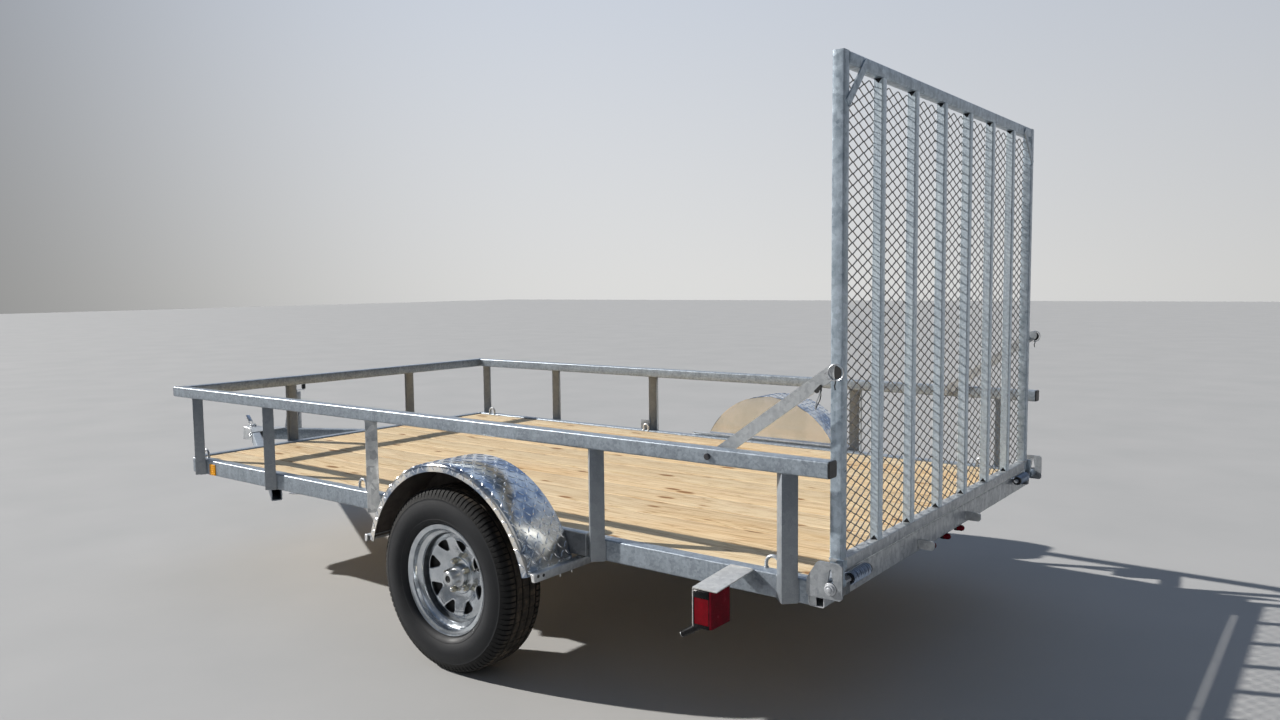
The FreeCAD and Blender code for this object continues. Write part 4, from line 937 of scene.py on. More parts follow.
# ------------------------------------------------------------------ wheels
WY = 1.183
AZ = 0.344
HALF_TYRE = [(0, 344), (13, 344), (14.6, 336), (20.4, 336), (22, 344), (32, 343.9), (43, 343.6), (44.6, 335.5), (50.4, 335.5), (52, 343.2),
             (60, 342.4), (67, 341), (76, 337.5), (83, 331.5), (87.5, 324), (90.5, 316), (92.8, 309.5), (94.2, 305.5), (93.8, 303.8), (95.4, 298),
             (98.2, 288), (100.4, 276), (101.3, 265), (100.7, 256), (98.4, 246), (94.8, 236), (92.2, 230.5), (92.6, 228.8), (90.4, 223.5), (86, 218),
             (81, 214), (76, 211.4), (72, 209.6), (69, 208), (69, 190.5)]
PITCHES = 100
for side, s in SIDES:
    W = EY * s
    U, V = EX, EZ
    c0 = P(0, s * WY, AZ)
    prof = [(-a, r) for a, r in reversed(HALF_TYRE[1:])] + HALF_TYRE
    k = len(prof)
    vs, fs, ms = [], [], []
    steps = [(0.0, 0.0), (0.72, 0.0), (0.76, 1.0), (0.96, 1.0)]
    for i in range(PITCHES):
        for t, deep in steps:
            for a, r in prof:
                aa = abs(a)
                # shoulder grooves run at a slight slant, and the two sides are half a pitch apart
                sh = (0.5 if a < 0 else 0.0) + 0.012 * (aa - 50) / 10.0
                th = 2 * math.pi * (i + t + (sh if aa > 49 and aa < 93 else 0)) / PITCHES
                cut = 0.0
                if deep and 51.5 < aa < 93 and r > 310:
                    cut = 6.0 if aa < 80 else 6.0 * max(0.0, (93 - aa) / 13.0)
                elif deep and (aa < 13.5 or 22 <= aa <= 43.5) and i % 2 == 0:
                    cut = 2.6
                nx, nr = (0.0, 1.0) if aa < 76 else (0.55 * (1 if a > 0 else -1), 0.83)
                d = U * math.cos(th) + V * math.sin(th)
                vs.append(c0 + W * ((a - nx * cut) * 0.001) + d * ((r - nr * cut) * 0.001))
    n_all = PITCHES * len(steps)
    for i in range(n_all):
        j = (i + 1) % n_all
        for q in range(k - 1):
            fs.append((i * k + q, i * k + q + 1, j * k + q + 1, j * k + q))
            aa = max(abs(prof[q][0]), abs(prof[q + 1][0]))
            ms.append(1 if min(prof[q][1], prof[q + 1][1]) > 305 else 0)
        fs.append((i * k + k - 1, i * k, j * k, j * k + k - 1))
        ms.append(0)
    b = Build()
    b.v, b.f, b.m = [tuple(p) for p in vs], fs, ms
    make("wheel_tyre_" + side, b, [TYRE, TREAD], "wheel_" + side, ["tyre_" + side], angle=32.0)

# rim: barrel turned from a section, disc with eight lipped windows
BARREL = [(76, 207.2), (75.4, 208.2), (73.6, 208.2), (71.6, 206.4), (70.2, 201), (69.3, 193), (66.5, 190.3), (52, 189.4), (47, 187.5), (42.5, 182), (38, 173.5),
          (33, 171), (10, 170), (4, 171), (-20, 171), (-26, 175), (-32, 188), (-66, 189.6), (-69.3, 193), (-71, 202), (-74, 207.5), (-76, 207.5), (-76, 205.2),
          (-73.4, 204.4), (-72.0, 196), (-69.0, 187.6), (-64, 186.8), (-34, 184), (-28, 171), (-22, 168.2), (34, 168.2), (39.5, 170.2), (44.5, 179), (48.5, 184.6),
          (53, 186.6), (66, 187.6), (70, 190), (72.2, 196.5), (73.8, 203.4), (75.2, 205.2)]
R_EDGE = 168.4


def smooth01(t):
    t = max(0.0, min(1.0, t))
    return t * t * (3 - 2 * t)


def dish(r):
    """Height of the disc's outboard face above the wheel's centre plane, in mm."""
    if r < 72:
        return 3.0
    if r < 133:
        t = (r - 72) / 61.0
        return 3.0 + 21.0 * (0.55 * t + 0.45 * smooth01(t))
    if r < 149:
        return 24.0 + 3.0 * math.sin((r - 133) / 16.0 * math.pi)
    if r < 166:
        return 24.0 - 2.5 * smooth01((r - 149) / 17.0)
    return 21.5 - (r - 166) * 0.8


WIN = [(-10.6, 141.5), (-12.0, 136.0), (-4.6, 103.0), (0.0, 99.5), (4.6, 103.0), (12.0, 136.0), (10.6, 141.5), (5.5, 143.6), (0, 144.2), (-5.5, 143.6)]
for side, s in SIDES:
    b = Build()
    c0 = P(0, s * WY, AZ)
    W = EY * s
    rev(b, [(a * 0.001, r * 0.001) for a, r in BARREL], c0, EX, EZ, W, 96, 0, closed=True)
    # the barrel behind the disc takes the dark rim zinc: painted shade
    kb = len(BARREL)
    for i in range(96):
        for q in range(kb):
            if max(BARREL[q][0], BARREL[(q + 1) % kb][0]) <= -10 or BARREL[q][0] * BARREL[(q + 1) % kb][0] < -500:
                b.m[i * kb + q] = 1

    def on_disc(x, y, off=0.0):
        r = math.hypot(x, y)
        return c0 + EX * (x * 0.001) + EZ * (y * 0.001) + W * ((dish(r) + off) * 0.001)

    for k8 in range(8):
        mid = math.radians(15.7 + 45 * k8)
        # window outline, densely sampled from its corners by a closed smooth curve
        base = [(r * math.cos(math.radians(a)), r * math.sin(math.radians(a))) for a, r in WIN]
        pts = fillet(base, [5.0, 6.0, 8.0, 3.0, 8.0, 6.0, 5.0, 6.0, 4.0, 6.0], 3)
        cx = 122.0
        M = 48
        # sort by angle about the window's centre and resample
        angs = sorted(((math.atan2(p[1], p[0] - cx), p) for p in pts), key=lambda q: q[0])

        def win_at(t):
            n = len(angs)
            for i in range(n):
                a0_, p0_ = angs[i]
                a1_, p1_ = angs[(i + 1) % n]
                if i == n - 1:
                    a1_ += 2 * math.pi
                tt = t
                if tt < angs[0][0]:
                    tt += 2 * math.pi
                if a0_ <= tt <= a1_ or (i == n - 1 and tt >= a0_):
                    f = (tt - a0_) / (a1_ - a0_) if a1_ > a0_ else 0
                    # meet the ray with the chord
                    dx, dy = math.cos(t), math.sin(t)
                    x0, y0 = p0_[0] - cx, p0_[1]
                    x1, y1 = p1_[0] - cx, p1_[1]
                    den = dx * (y1 - y0) - dy * (x1 - x0)
                    if abs(den) < 1e-9:
                        return (p0_[0], p0_[1])
                    lam = (x0 * (y1 - y0) - y0 * (x1 - x0)) / den
                    return (cx + dx * lam, dy * lam)
            return angs[0][1]

        def sector_at(t):
            """Where the ray from the window's centre leaves the 45 degree sector."""
            dx, dy = math.cos(t), math.sin(t)
            best = 1e9
            h = math.radians(22.5)
            for sg in (1, -1):
                # edge line through the axis
                nx, ny = -math.sin(h) * 1.0, math.cos(h) * sg
                den = dx * nx + dy * ny
                if den > 1e-9:
                    best = min(best, -(cx * nx) / den)
            # outer circle
            B = 2 * cx * dx
            Cq = cx * cx - R_EDGE * R_EDGE
            lam = (-B + math.sqrt(B * B - 4 * Cq)) / 2
            best = min(best, lam)
            # inner circle
            Cq = cx * cx - 72.0 * 72.0
            dsc = B * B - 4 * Cq
            if dsc > 0:
                lam = (-B - math.sqrt(dsc)) / 2
                if lam > 0:
                    best = min(best, lam)
            return (cx + dx * best, dy * best)

        # rays, with the sector's corners among them
        ts = [-math.pi + 2 * math.pi * i / M for i in range(M)]
        for r_c in (R_EDGE, 72.0):
            for sg in (1, -1):
                x, y = r_c * math.cos(math.radians(22.5)), r_c * math.sin(math.radians(22.5)) * sg
                ts.append(math.atan2(y, x - cx))
        ts = sorted(set(round(t, 6) for t in ts))
        n = len(ts)
        loops = []
        win = [win_at(t) for t in ts]
        sec = [sector_at(t) for t in ts]
        levels = [(-0.030, -9.5), (-0.030, -5.0), (-0.012, -1.2), (0.05, 0.0), (0.25, 0.0), (0.45, 0.0), (0.65, 0.0), (0.83, 0.0), (1.0, 0.0)]
        rot = (math.cos(mid), math.sin(mid))
        vs, fs = [], []
        for f, off in levels:
            for p0, p1 in zip(win, sec):
                x = p0[0] + (p1[0] - p0[0]) * max(f, 0)
                y = p0[1] + (p1[1] - p0[1]) * max(f, 0)
                if f < 0:
                    L = math.hypot(p0[0] - cx, p0[1])
                    x = p0[0] - (p0[0] - cx) / L * (-f * 30)
                    y = p0[1] - p0[1] / L * (-f * 30)
                vs.append(on_disc(x * rot[0] - y * rot[1], x * rot[1] + y * rot[0], off))
        for q in range(len(levels) - 1):
            for i in range(n):
                j = (i + 1) % n
                fs.append((q * n + i, q * n + j, (q + 1) * n + j, (q + 1) * n + i))
        # back of the sheet
        i0 = len(vs)
        for f in (0.05, 0.45, 1.0):
            for p0, p1 in zip(win, sec):
                x = p0[0] + (p1[0] - p0[0]) * f
                y = p0[1] + (p1[1] - p0[1]) * f
                vs.append(on_disc(x * rot[0] - y * rot[1], x * rot[1] + y * rot[0], -4.5))
        for q in range(2):
            for i in range(n):
                j = (i + 1) % n
                fs.append((i0 + q * n + j, i0 + q * n + i, i0 + (q + 1) * n + i, i0 + (q + 1) * n + j))
        front = (len(levels) - 1) * n
        b.add(vs, fs, 0)
        # the back of the sheet takes the dark rim zinc: painted shade
        for q in range(len(b.m) - len(fs) + front, len(b.m)):
            b.m[q] = 1
    # black shell close behind the windows: painted shade for the unlit inside of the wheel
    rev(b, [(-0.010, 0.0705), (-0.004, 0.100), (0.006, 0.133), (0.0085, 0.150), (0.0085, 0.1680), (0.0070, 0.1680), (0.0070, 0.150), (0.0045, 0.133), (-0.0055, 0.100), (-0.0115, 0.0705)],
        c0, EX, EZ, W, 72, 2, closed=True)
    # mounting face: flat with a raised ring round the nuts, open for the hub
    rev(b, [(0.003, 0.072), (0.003, 0.0695), (0.0055, 0.067), (0.0055, 0.047), (0.004, 0.0445), (0.0005, 0.0435), (-0.002, 0.0425), (-0.002, 0.070)], c0, EX, EZ, W, 64)
    # seats of the nuts
    for i in range(5):
        t = 2 * math.pi * i / 5 + 0.07
        q = c0 + (EX * math.cos(t) + EZ * math.sin(t)) * 0.05715
        disc(b, q + W * 0.0054, W, [(0, 0.0125), (0.0010, 0.0118), (0.0010, 0.009)], 20)
    make("wheel_rim_" + side, b, [RIM, RIM_PAINTED_SHADE, BLACK_RUBBER], "wheel_" + side, ["rim_" + side], angle=40.0)
    # hub: flange barrel, cap with its rubber plug, studs and nuts
    b = Build()
    hub = [(-100, 20.2), (-100, 36), (-98, 38), (-15, 38), (-14, 69), (-3.2, 69.5), (-3.0, 42.0), (16, 41.0), (19, 39.5), (20.5, 37), (21, 33.5), (23, 31.5), (27, 31), (28, 29.4),
           (54, 28.0), (58.5, 27.2), (61, 24.5), (61.8, 21), (61.8, 14.5), (60.5, 13.6)]
    rev(b, [(a * 0.001, r * 0.001) for a, r in hub], c0, EX, EZ, W, 56, 0)
    rev(b, [(0.0606, 0.0), (0.0606, 0.0025), (0.0592, 0.0035), (0.0592, 0.0085), (0.0616, 0.0105), (0.0618, 0.0128), (0.0600, 0.0138)], c0, EX, EZ, W, 32, 2)
    for i in range(5):
        t = 2 * math.pi * i / 5 + 0.07
        q = c0 + (EX * math.cos(t) + EZ * math.sin(t)) * 0.05715
        disc(b, q + W * 0.0045, W, [(0, 0.0), (0, 0.0080), (0.004, 0.0112), (0.006, 0.0112)], 20, 1)
        hexhead(b, q + W * 0.0100, W, 0.0205, 0.0140, 1, turn=t)
        disc(b, q + W * 0.0225, W, [(0, 0.0062), (0.006, 0.0062), (0.0072, 0.0050), (0.0072, 0.0)], 16, 0)
    make("wheel_hub_" + side, b, [ZINC, NUT, BLACK_RUBBER], "wheel_" + side, ["hub_" + side])
    # valve stem
    b = Build()
    t = math.radians(158 if s > 0 else 22)
    q = c0 + (EX * math.cos(t) + EZ * math.sin(t)) * 0.1800 + W * 0.0465
    Wv = (W * 0.90 - (EX * math.cos(t) + EZ * math.sin(t)) * 0.42).normalized()
    disc(b, q, Wv, [(-0.006, 0.0), (-0.006, 0.0090), (0.001, 0.0086), (0.004, 0.0056), (0.018, 0.0046), (0.020, 0.0040), (0.020, 0.0)], 20, 0)
    disc(b, q + Wv * 0.0195, Wv, [(0, 0.0036), (0.001, 0.0040), (0.009, 0.0038), (0.0098, 0.0030), (0.0098, 0.0)], 16, 1)
    make("valve_" + side, b, [BLACK_RUBBER, BLACK], "wheel_" + side)

# ------------------------------------------------------------------ fenders
FX, FZ, FR = -0.030, 0.345, 0.442
F_IN, F_OUT = 1.068, 1.2933
FOOT = 0.446
a_end = math.asin((FOOT - FZ) / FR)
for side, s in SIDES:
    W = EY * s
    c0 = P(FX, 0, FZ)
    # section: (across, radius) outer skin from the inner edge to the rolled lip, and back inside
    roll = 0.017
    skin = [(F_IN, FR)]
    for i in range(7):
        y = F_IN + 0.004 + (F_OUT - roll - F_IN - 0.004) * i / 6.0
        skin.append((y, FR))
    for i in range(1, 8):
        t = math.pi / 2 * i / 7
        skin.append((F_OUT - roll + roll * math.sin(t), FR - roll + roll * math.cos(t)))
    skin.append((F_OUT, FR - 0.0310))
    skin.append((F_OUT - 0.0009, FR - 0.0322))
    skin.append((F_OUT - 0.0024, FR - 0.0322))
    q_in = len(skin)
    skin.append((F_OUT - 0.0030, FR - 0.0310))
    for i in range(7, -1, -1):
        t = math.pi / 2 * i / 7
        rr = roll - 0.003
        skin.append((F_OUT - roll + rr * math.sin(t), FR - roll + rr * math.cos(t)))
    skin.append((F_IN + 0.003, FR - 0.003))
    skin.append((F_IN, FR - 0.003))
    b = Build()
    rev(b, skin, c0, EX, EZ, W, 72, 0, closed=True, a0=a_end, a1=math.pi - a_end, caps=True)
    for i in range(72):
        for q in range(q_in, len(skin) - 1):
            b.m[i * len(skin) + q] = 3
    # back plate: the half disc between the wheel and the deck
    M = 60
    vs, fs = [], []
    for yy in (F_IN, F_IN + 0.003):
        arc = [c0 + W * yy + (EX * math.cos(t) + EZ * math.sin(t)) * (FR - 0.0032) for t in [a_end + (math.pi - 2 * a_end) * i / M for i in range(M + 1)]]
        chord = [Vector((p.x, p.y, FOOT)) for p in arc]
        vs += arc + chord
    n = M + 1
    for i in range(M):
        fs.append((i, i + 1, n + i + 1, n + i))
        fs.append((2 * n + i + 1, 2 * n + i, 3 * n + i, 3 * n + i + 1))
        fs.append((n + i, n + i + 1, 3 * n + i + 1, 3 * n + i))
    m0 = len(b.m)
    b.add(vs, fs, 1)
    for i in range(M):
        b.m[m0 + 3 * i + 1] = 3
    # raised lozenges of the tread plate, in alternate directions, over the arch
    pitch_l = 0.0285
    arc_len = FR * (math.pi - 2 * a_end)
    na = int(arc_len / pitch_l)
    width = F_OUT - F_IN - 0.012
    extra = roll * (math.pi / 2 - 1)
    nw = int((width + extra + 0.012) / pitch_l)

    def skin_pt(u, v, h):
        """u along the arch from its front foot, v across from the inner edge, h proud of the skin."""
        t = a_end + u / FR
        d = EX * math.cos(t) + EZ * math.sin(t)
        flat_w = F_OUT - roll - F_IN
        if v <= flat_w:
            return c0 + W * (F_IN + v) + d * (FR + h)
        t2 = min((v - flat_w) / roll, math.pi / 2)
        extra2 = (v - flat_w) - t2 * roll
        return c0 + W * (F_OUT - roll + (roll + h) * math.sin(t2)) + d * (FR - roll + (roll + h) * math.cos(t2) - extra2)

    h_l = 0.0016
    for i in range(na + 1):
        for j in range(nw + 1):
            u = 0.012 + i * (arc_len - 0.024) / na
            v = 0.014 + j * (width + extra) / nw
            if (i + j) % 2:
                du, dv = 0.72, 0.69
            else:
                du, dv = 0.72, -0.69
            L, Wd = 0.0150, 0.0042
            pts = []
            for f, g2 in ((-1.0, 0.0), (-0.45, 1.0), (0.45, 1.0), (1.0, 0.0), (0.45, -1.0), (-0.45, -1.0)):
                pts.append((u + f * L * du - g2 * Wd * dv, v + f * L * dv + g2 * Wd * du))
            if min(p[1] for p in pts) < 0.002 or max(p[1] for p in pts) > width + extra + 0.0255 or min(p[0] for p in pts) < 0.001 or max(p[0] for p in pts) > arc_len - 0.001:
                continue
            vs = [skin_pt(p[0], p[1], -0.0002) for p in pts]
            cu, cv = u, v
            vs += [skin_pt(cu + (p[0] - cu) * 0.62, cv + (p[1] - cv) * 0.62, h_l) for p in pts]
            fs = [(q, (q + 1) % 6, 6 + (q + 1) % 6, 6 + q) for q in range(6)] + [tuple(range(6, 12))]
            b.add(vs, fs, 2)
    make("fender_plate_" + side, b, [ALU, ALU_BACK, ALU_RAISED, INSIDE], FRAME_BODY, ["fender_" + side], angle=30.0)
    # mounting angles from the rail face to the outer edge
    b = Build()
    reach = math.sqrt(FR ** 2 - (FOOT - FZ) ** 2)
    ANGLE = FOOT - 0.016
    for e in (1, -1):
        xo = FX + e * (reach + 0.024)
        y0, y1 = 0.958, F_OUT - 0.006
        prof = fillet([(0, 0), (0.0045, 0), (0.0045, 0.0250), (0.032, 0.0250), (0.032, 0.0295), (0, 0.0295)], [0.0006, 0.0006, 0.003, 0.0006, 0.0006, 0.0040], 3)
        bar(b, [(-e * u, v) for u, v in prof], P(xo, s * y0, ANGLE), EX, EZ, W, y1 - y0, cham=0.0005)
        # pale cut end, the two holes beside it, and bolts through the top leg
        endp = fillet([(-0.0006, 0.002), (0.010, 0.002), (0.016, 0.0285), (-0.0006, 0.0285)], 0.0012, 2)
        bar(b, [(-e * u, v) for u, v in endp], P(xo, s * (y1 - 0.0005), ANGLE), EX, EZ, W, 0.004, cham=0.0006, mat=3)
        block(b, P(min(xo, xo + e * 0.0012), min(s * (y1 - 0.010), s * (y1 + 0.0030)), ANGLE + 0.001), P(max(xo, xo + e * 0.0012), max(s * (y1 - 0.010), s * (y1 + 0.0030)), ANGLE + 0.0285), 0.001, 0.0003, axis="z", mat=3)
        # black discs for the two holes: painted shade of the holes
        for yy, zz in ((y1 - 0.018, 0.019), (y1 - 0.044, 0.0165)):
            disc(b, P(xo + e * 0.0001, s * yy, ANGLE + zz), EX * e, [(0.0, 0.0), (0.0, 0.0050), (0.0005, 0.0058), (-0.0004, 0.0060)], 18, 2)
        for yy in (1.085, 1.145):
            disc(b, P(xo - e * 0.014, s * yy, ANGLE + 0.027), -EZ, [(0, 0.0), (0, 0.0030), (0.041, 0.0030), (0.042, 0.0022), (0.042, 0.0)], 12, 1)
            hexhead(b, P(xo - e * 0.014, s * yy, ANGLE + 0.0245), -EZ, 0.011, 0.006, 1)
        bead(b, P(xo - e * 0.003, s * (HALF + 0.001), ANGLE + 0.031), P(xo - e * 0.028, s * (HALF + 0.001), ANGLE + 0.031), 0.003)
    # channel that carries the arch along the rail: its face in dark zinc is painted shadow of the fender, its pale top
    # flange a painted sunlit top
    block(b, P(FX - 0.487, min(s * (HALF + 0.0003), s * 1.0632), 0.474), P(FX + 0.487, max(s * (HALF + 0.0003), s * 1.0632), 0.552), 0.003, 0.0008, axis="x", mat=4)
    block(b, P(FX - 0.487, min(s * (HALF - 0.012), s * 1.0640), 0.5515), P(FX + 0.487, max(s * (HALF - 0.012), s * 1.0640), 0.5560), 0.0015, 0.0006, axis="x", mat=0)
    block(b, P(FX - 0.487, min(s * (HALF - 0.0022), s * (HALF + 0.0003)), F_TOP - 0.001), P(FX + 0.487, max(s * (HALF - 0.0022), s * (HALF + 0.0003)), 0.5517), 0.0006, 0.0002, axis="x", mat=0)
    for e in (1, -1):
        block(b, P(min(FX + e * 0.4865, FX + e * 0.4895), min(s * (HALF + 0.0003), s * 1.0640), 0.474), P(max(FX + e * 0.4865, FX + e * 0.4895), max(s * (HALF + 0.0003), s * 1.0640), 0.556), 0.001, 0.0004, axis="z", mat=0)
    make("fender_angle_" + side, b, [GALV_PALE, ZINC, BLACK, ZINC_PALE, GALV_DIM], FRAME_BODY)

# ------------------------------------------------------------------ ramp gate
GS, SS = 0.0381, 0.0318
GH = 0.970
G_REAR, G_LOW, G_TOP = -1.441, 0.556, 2.089
PVX, PVZ = -1.447, 0.530
b = Build()
gx = G_REAR + GS / 2
for s in (1, -1):
    tube(b, GS, GS, 0.0028, 0.0045, P(gx, s * (GH - GS / 2), G_LOW), EX, EY, EZ, G_TOP - G_LOW)
    block(b, P(G_REAR + 0.003, s * (GH - GS / 2) - GS / 2 + 0.003, G_TOP - 0.0035), P(G_REAR + GS - 0.003, s * (GH - GS / 2) + GS / 2 - 0.003, G_TOP - 0.0005), 0.001, 0.0003, axis="z")
for z0 in (G_LOW, G_TOP - GS):
    tube(b, GS, GS, 0.0028, 0.0045, P(gx, -(GH - GS), z0 + GS / 2), -EX, EZ, EY, 2 * (GH - GS), mat=4 if z0 == G_LOW else 0)
slat_pitch = (2 * GH - GS) / 7.0
sx = G_REAR + SS / 2
NOTCH = 0.013
for i in range(1, 7):
    yc = GH - GS / 2 - slat_pitch * i
    za, zb = G_LOW + GS, G_TOP - GS
    # slat with a V drain notch in both side faces at each end: sides are built as strips round the notch
    r = 0.004
    outer = rrect(SS, SS, r, 3)

    def vcut(u, v, sign):
        side_face = abs(abs(v) - SS / 2) < 0.0006
        if side_face and abs(u) < NOTCH:
            return sign * (NOTCH - abs(u)) * 1.25
        return 0.0

    # extra points along the side faces so that the notch has its peak
    dense = []
    for a, c in zip(outer, outer[1:] + outer[:1]):
        dense.append(a)
        if abs(a[1] - c[1]) < 1e-6 and abs(abs(a[1]) - SS / 2) < 1e-6 and abs(a[0] - c[0]) > 0.01:
            m = 1 if c[0] > a[0] else -1
            for t in (-NOTCH, -NOTCH / 2, 0.0, NOTCH / 2, NOTCH):
                dense.append((m * t, a[1]))
    inner = [(u * (1 - 0.0028 / (SS / 2)), v * (1 - 0.0028 / (SS / 2))) for u, v in dense]

    def cut_lo(u, v):
        k = SS / 2
        sc = 1.0 if abs(v) > k - 0.0005 or abs(u) > k - 0.0005 else 1.0 / (1 - 0.0028 / k)
        uu, vv = u, v
        if abs(abs(v) - k) < 0.0006 or abs(abs(v) - (k - 0.0028)) < 0.0006:
            if abs(u) < NOTCH:
                return (NOTCH - abs(u)) * 1.25
        return 0.0

    def cut_hi(u, v):
        return -cut_lo(u, v)

    bar(b, dense, P(sx, yc, za), EX, EY, EZ, zb - za, inner=inner, cut0=cut_lo, cut1=cut_hi, mat=3)
    # black blocks inside the slat behind the notches: painted shade of the hollow
    hk = SS / 2 - 0.0031
    for z in (za + 0.0004, zb - 0.0304):
        block(b, P(sx - hk, yc - hk, z), P(sx + hk, yc + hk, z + 0.030), 0.001, 0.0003, axis="z", mat=2)
    for z in (za, zb):
        for e in (1, -1):
            bead(b, P(sx - SS / 2 + 0.004, yc + e * 0.004, z), P(sx - SS / 2 + 0.001, yc + e * (SS / 2 - 0.002), z), 0.0020)
for s in (1, -1):
    ya, za, yb, zb = GH - 0.148, G_TOP - 0.015, GH - 0.022, G_TOP - 0.151
    g2 = 0.0095
    strip = fillet([(s * (ya + g2), za + g2 - 0.001), (s * (ya - g2), za - g2 - 0.001), (s * (yb - g2), zb - g2), (s * (yb + g2), zb + g2)], 0.002, 3)
    bar(b, strip, P(G_REAR - 0.004, 0, 0), EY, EZ, EX, 0.0045, cham=0.0007)
    # lug and sleeve of the hinge
    block(b, P(PVX - 0.008, s * (GH + 0.007) - 0.007, PVZ), P(PVX + 0.015, s * (GH + 0.007) + 0.007, 0.598), 0.003, 0.0008, axis="z")
    y0, y1 = GH + 0.005, 1.041
    disc(b, P(PVX, s * y0, PVZ), EY * s, [(0, 0.0081), (0, 0.0140), (0.001, 0.015), (y1 - y0 - 0.001, 0.015), (y1 - y0, 0.0140), (y1 - y0, 0.0081)], 32)
    # bright weld collar round the upright above the hinge
    for q in range(2):
        zc = 0.5905 + q * 0.0045
        k = GS / 2 + 0.0006
        ringp = []
        for u, v in fillet([(-k, -k), (k, -k), (k, k), (-k, k)], 0.0045, 4):
            ringp.append(P(gx + u, s * (GH - GS / 2) + v, zc))
        sweep(b, ringp, 0.0026, 7, 1, closed=True)
    bead(b, P(PVX + 0.0145, s * (GH + 0.0135), 0.540), P(PVX + 0.0145, s * (GH + 0.0135), 0.596), 0.0026, 1)
    # stub that takes the arm, with the hitch ring's barrel
    disc(b, P(-1.422, s * (GH - 0.001), 1.155), EY * s, [(0, 0.0), (0, 0.012), (0.043, 0.012), (0.045, 0.0105), (0.045, 0.0)], 24)
    # welds of the top and bottom tubes to the uprights
    for z0 in (G_LOW, G_TOP - GS):
        yb_ = s * (GH - GS)
        bead(b, P(G_REAR + 0.0005, yb_, z0 + 0.005), P(G_REAR + 0.0005, yb_, z0 + GS - 0.005), 0.0024)
        if z0 == G_LOW:
            bead(b, P(G_REAR + 0.004, yb_, z0 + GS), P(G_REAR + GS - 0.004, yb_, z0 + GS), 0.0024)
# the slats (index 3) and the bottom tube (index 4) take paler copies of the gate's zinc: painted light
make("gate_tubes", b, [GALV_GATE, GALV_PALE, BLACK, GALV_SLAT_PAINTED_LIGHT, GALV_REAR_PAINTED_LIGHT], "gate", ["gate_frame"])

# expanded mesh: zigzag strands that touch at their knuckles
b = Build()
LW, SW = 0.0755, 0.0345
y_lo, y_hi = -(GH - GS) + 0.001, (GH - GS) - 0.001
z_lo, z_hi = G_LOW + GS - 0.002, G_TOP - GS + 0.002
mx = G_REAR + SS + 0.0018
hw, ht = 0.00135, 0.0015
rows = int((z_hi - z_lo) / (SW / 2)) + 2
y_ref = 0.835
half = LW / 2
n0 = int((y_lo - y_ref) / half) - 2
n1 = int((y_hi - y_ref) / half) + 2
for row in range(rows):
    zc = z_lo - SW / 4 + row * (SW / 2)
    # the strand rises and falls between knuckles
    pts = []
    for n in range(n0, n1 + 1):
        y = y_ref + n * half
        up = (n + row) % 2
        z = zc + (SW / 4 - 0.0011) * (1 if up else -1)
        # flat at the knuckle
        pts.append((y - 0.0045, z))
        pts.append((y + 0.0045, z))
    keep = []
    for (ya, za), (yb, zb) in zip(pts, pts[1:]):
        lo_, hi_ = max(ya, y_lo), min(yb, y_hi)
        if hi_ <= lo_:
            continue
        f0, f1 = (lo_ - ya) / (yb - ya), (hi_ - ya) / (yb - ya)
        p0, p1 = (lo_, za + (zb - za) * f0), (hi_, za + (zb - za) * f1)
        if not keep or keep[-1] != p0:
            keep.append(p0)
        keep.append(p1)
    keep = [p for p in keep]
    if len(keep) < 2 or zc - SW / 4 < z_lo - 0.004 or zc + SW / 4 > z_hi + 0.004:
        continue
    vs, fs = [], []
    for i, (y, z) in enumerate(keep):
        z = max(z_lo, min(z_hi, z))
        tilt = 0.0006
        for dx, dz in ((-ht, -hw), (ht, -hw + tilt), (ht, hw + tilt), (-ht, hw)):
            vs.append(P(mx + dx, y, z + dz))
    for i in range(len(keep) - 1):
        for q in range(4):
            q3 = (q + 1) % 4
            fs.append((i * 4 + q, i * 4 + q3, (i + 1) * 4 + q3, (i + 1) * 4 + q))
    fs.append((3, 2, 1, 0))
    m_ = (len(keep) - 1) * 4
    fs.append((m_, m_ + 1, m_ + 2, m_ + 3))
    b.add(vs, fs, 0)
make("gate_expanded_mesh", b, GALV_MESH, "gate", ["gate_mesh"])

# ------------------------------------------------------------------ gate springs
for side, s in SIDES:
    b = Build()
    y0, y1 = 0.800, 0.929
    turns = 10
    wire = 0.0031
    R = 0.0205 - wire
    pts = []
    n = turns * 22
    for i in range(n + 1):
        t = 2 * math.pi * turns * i / n
        y = y0 + wire + (y1 - y0 - 2 * wire) * i / n
        pts.append(P(PVX + R * math.cos(t), s * y, PVZ + R * math.sin(t)))
    # the coil
    sweep(b, pts, wire, 8)
    disc(b, P(PVX, s * (y0 - 0.006), PVZ), EY * s, [(0, 0.0), (0, 0.0165), (0.001, 0.0175), (0.010, 0.0175), (0.011, 0.0165), (0.011, 0.0)], 24, 1)
    # black core inside the coil: painted shade that makes the gaps between the turns read dark
    disc(b, P(PVX, s * (y0 + 0.002), PVZ), EY * s, [(0, 0.0), (0, 0.0118), (y1 - y0 - 0.004, 0.0118), (y1 - y0 - 0.004, 0.0)], 20, 1)
    make("coil_spring_" + side, b, [ZINC_BLUE, BLACK], FRAME_BODY, ["gate_spring_" + side])

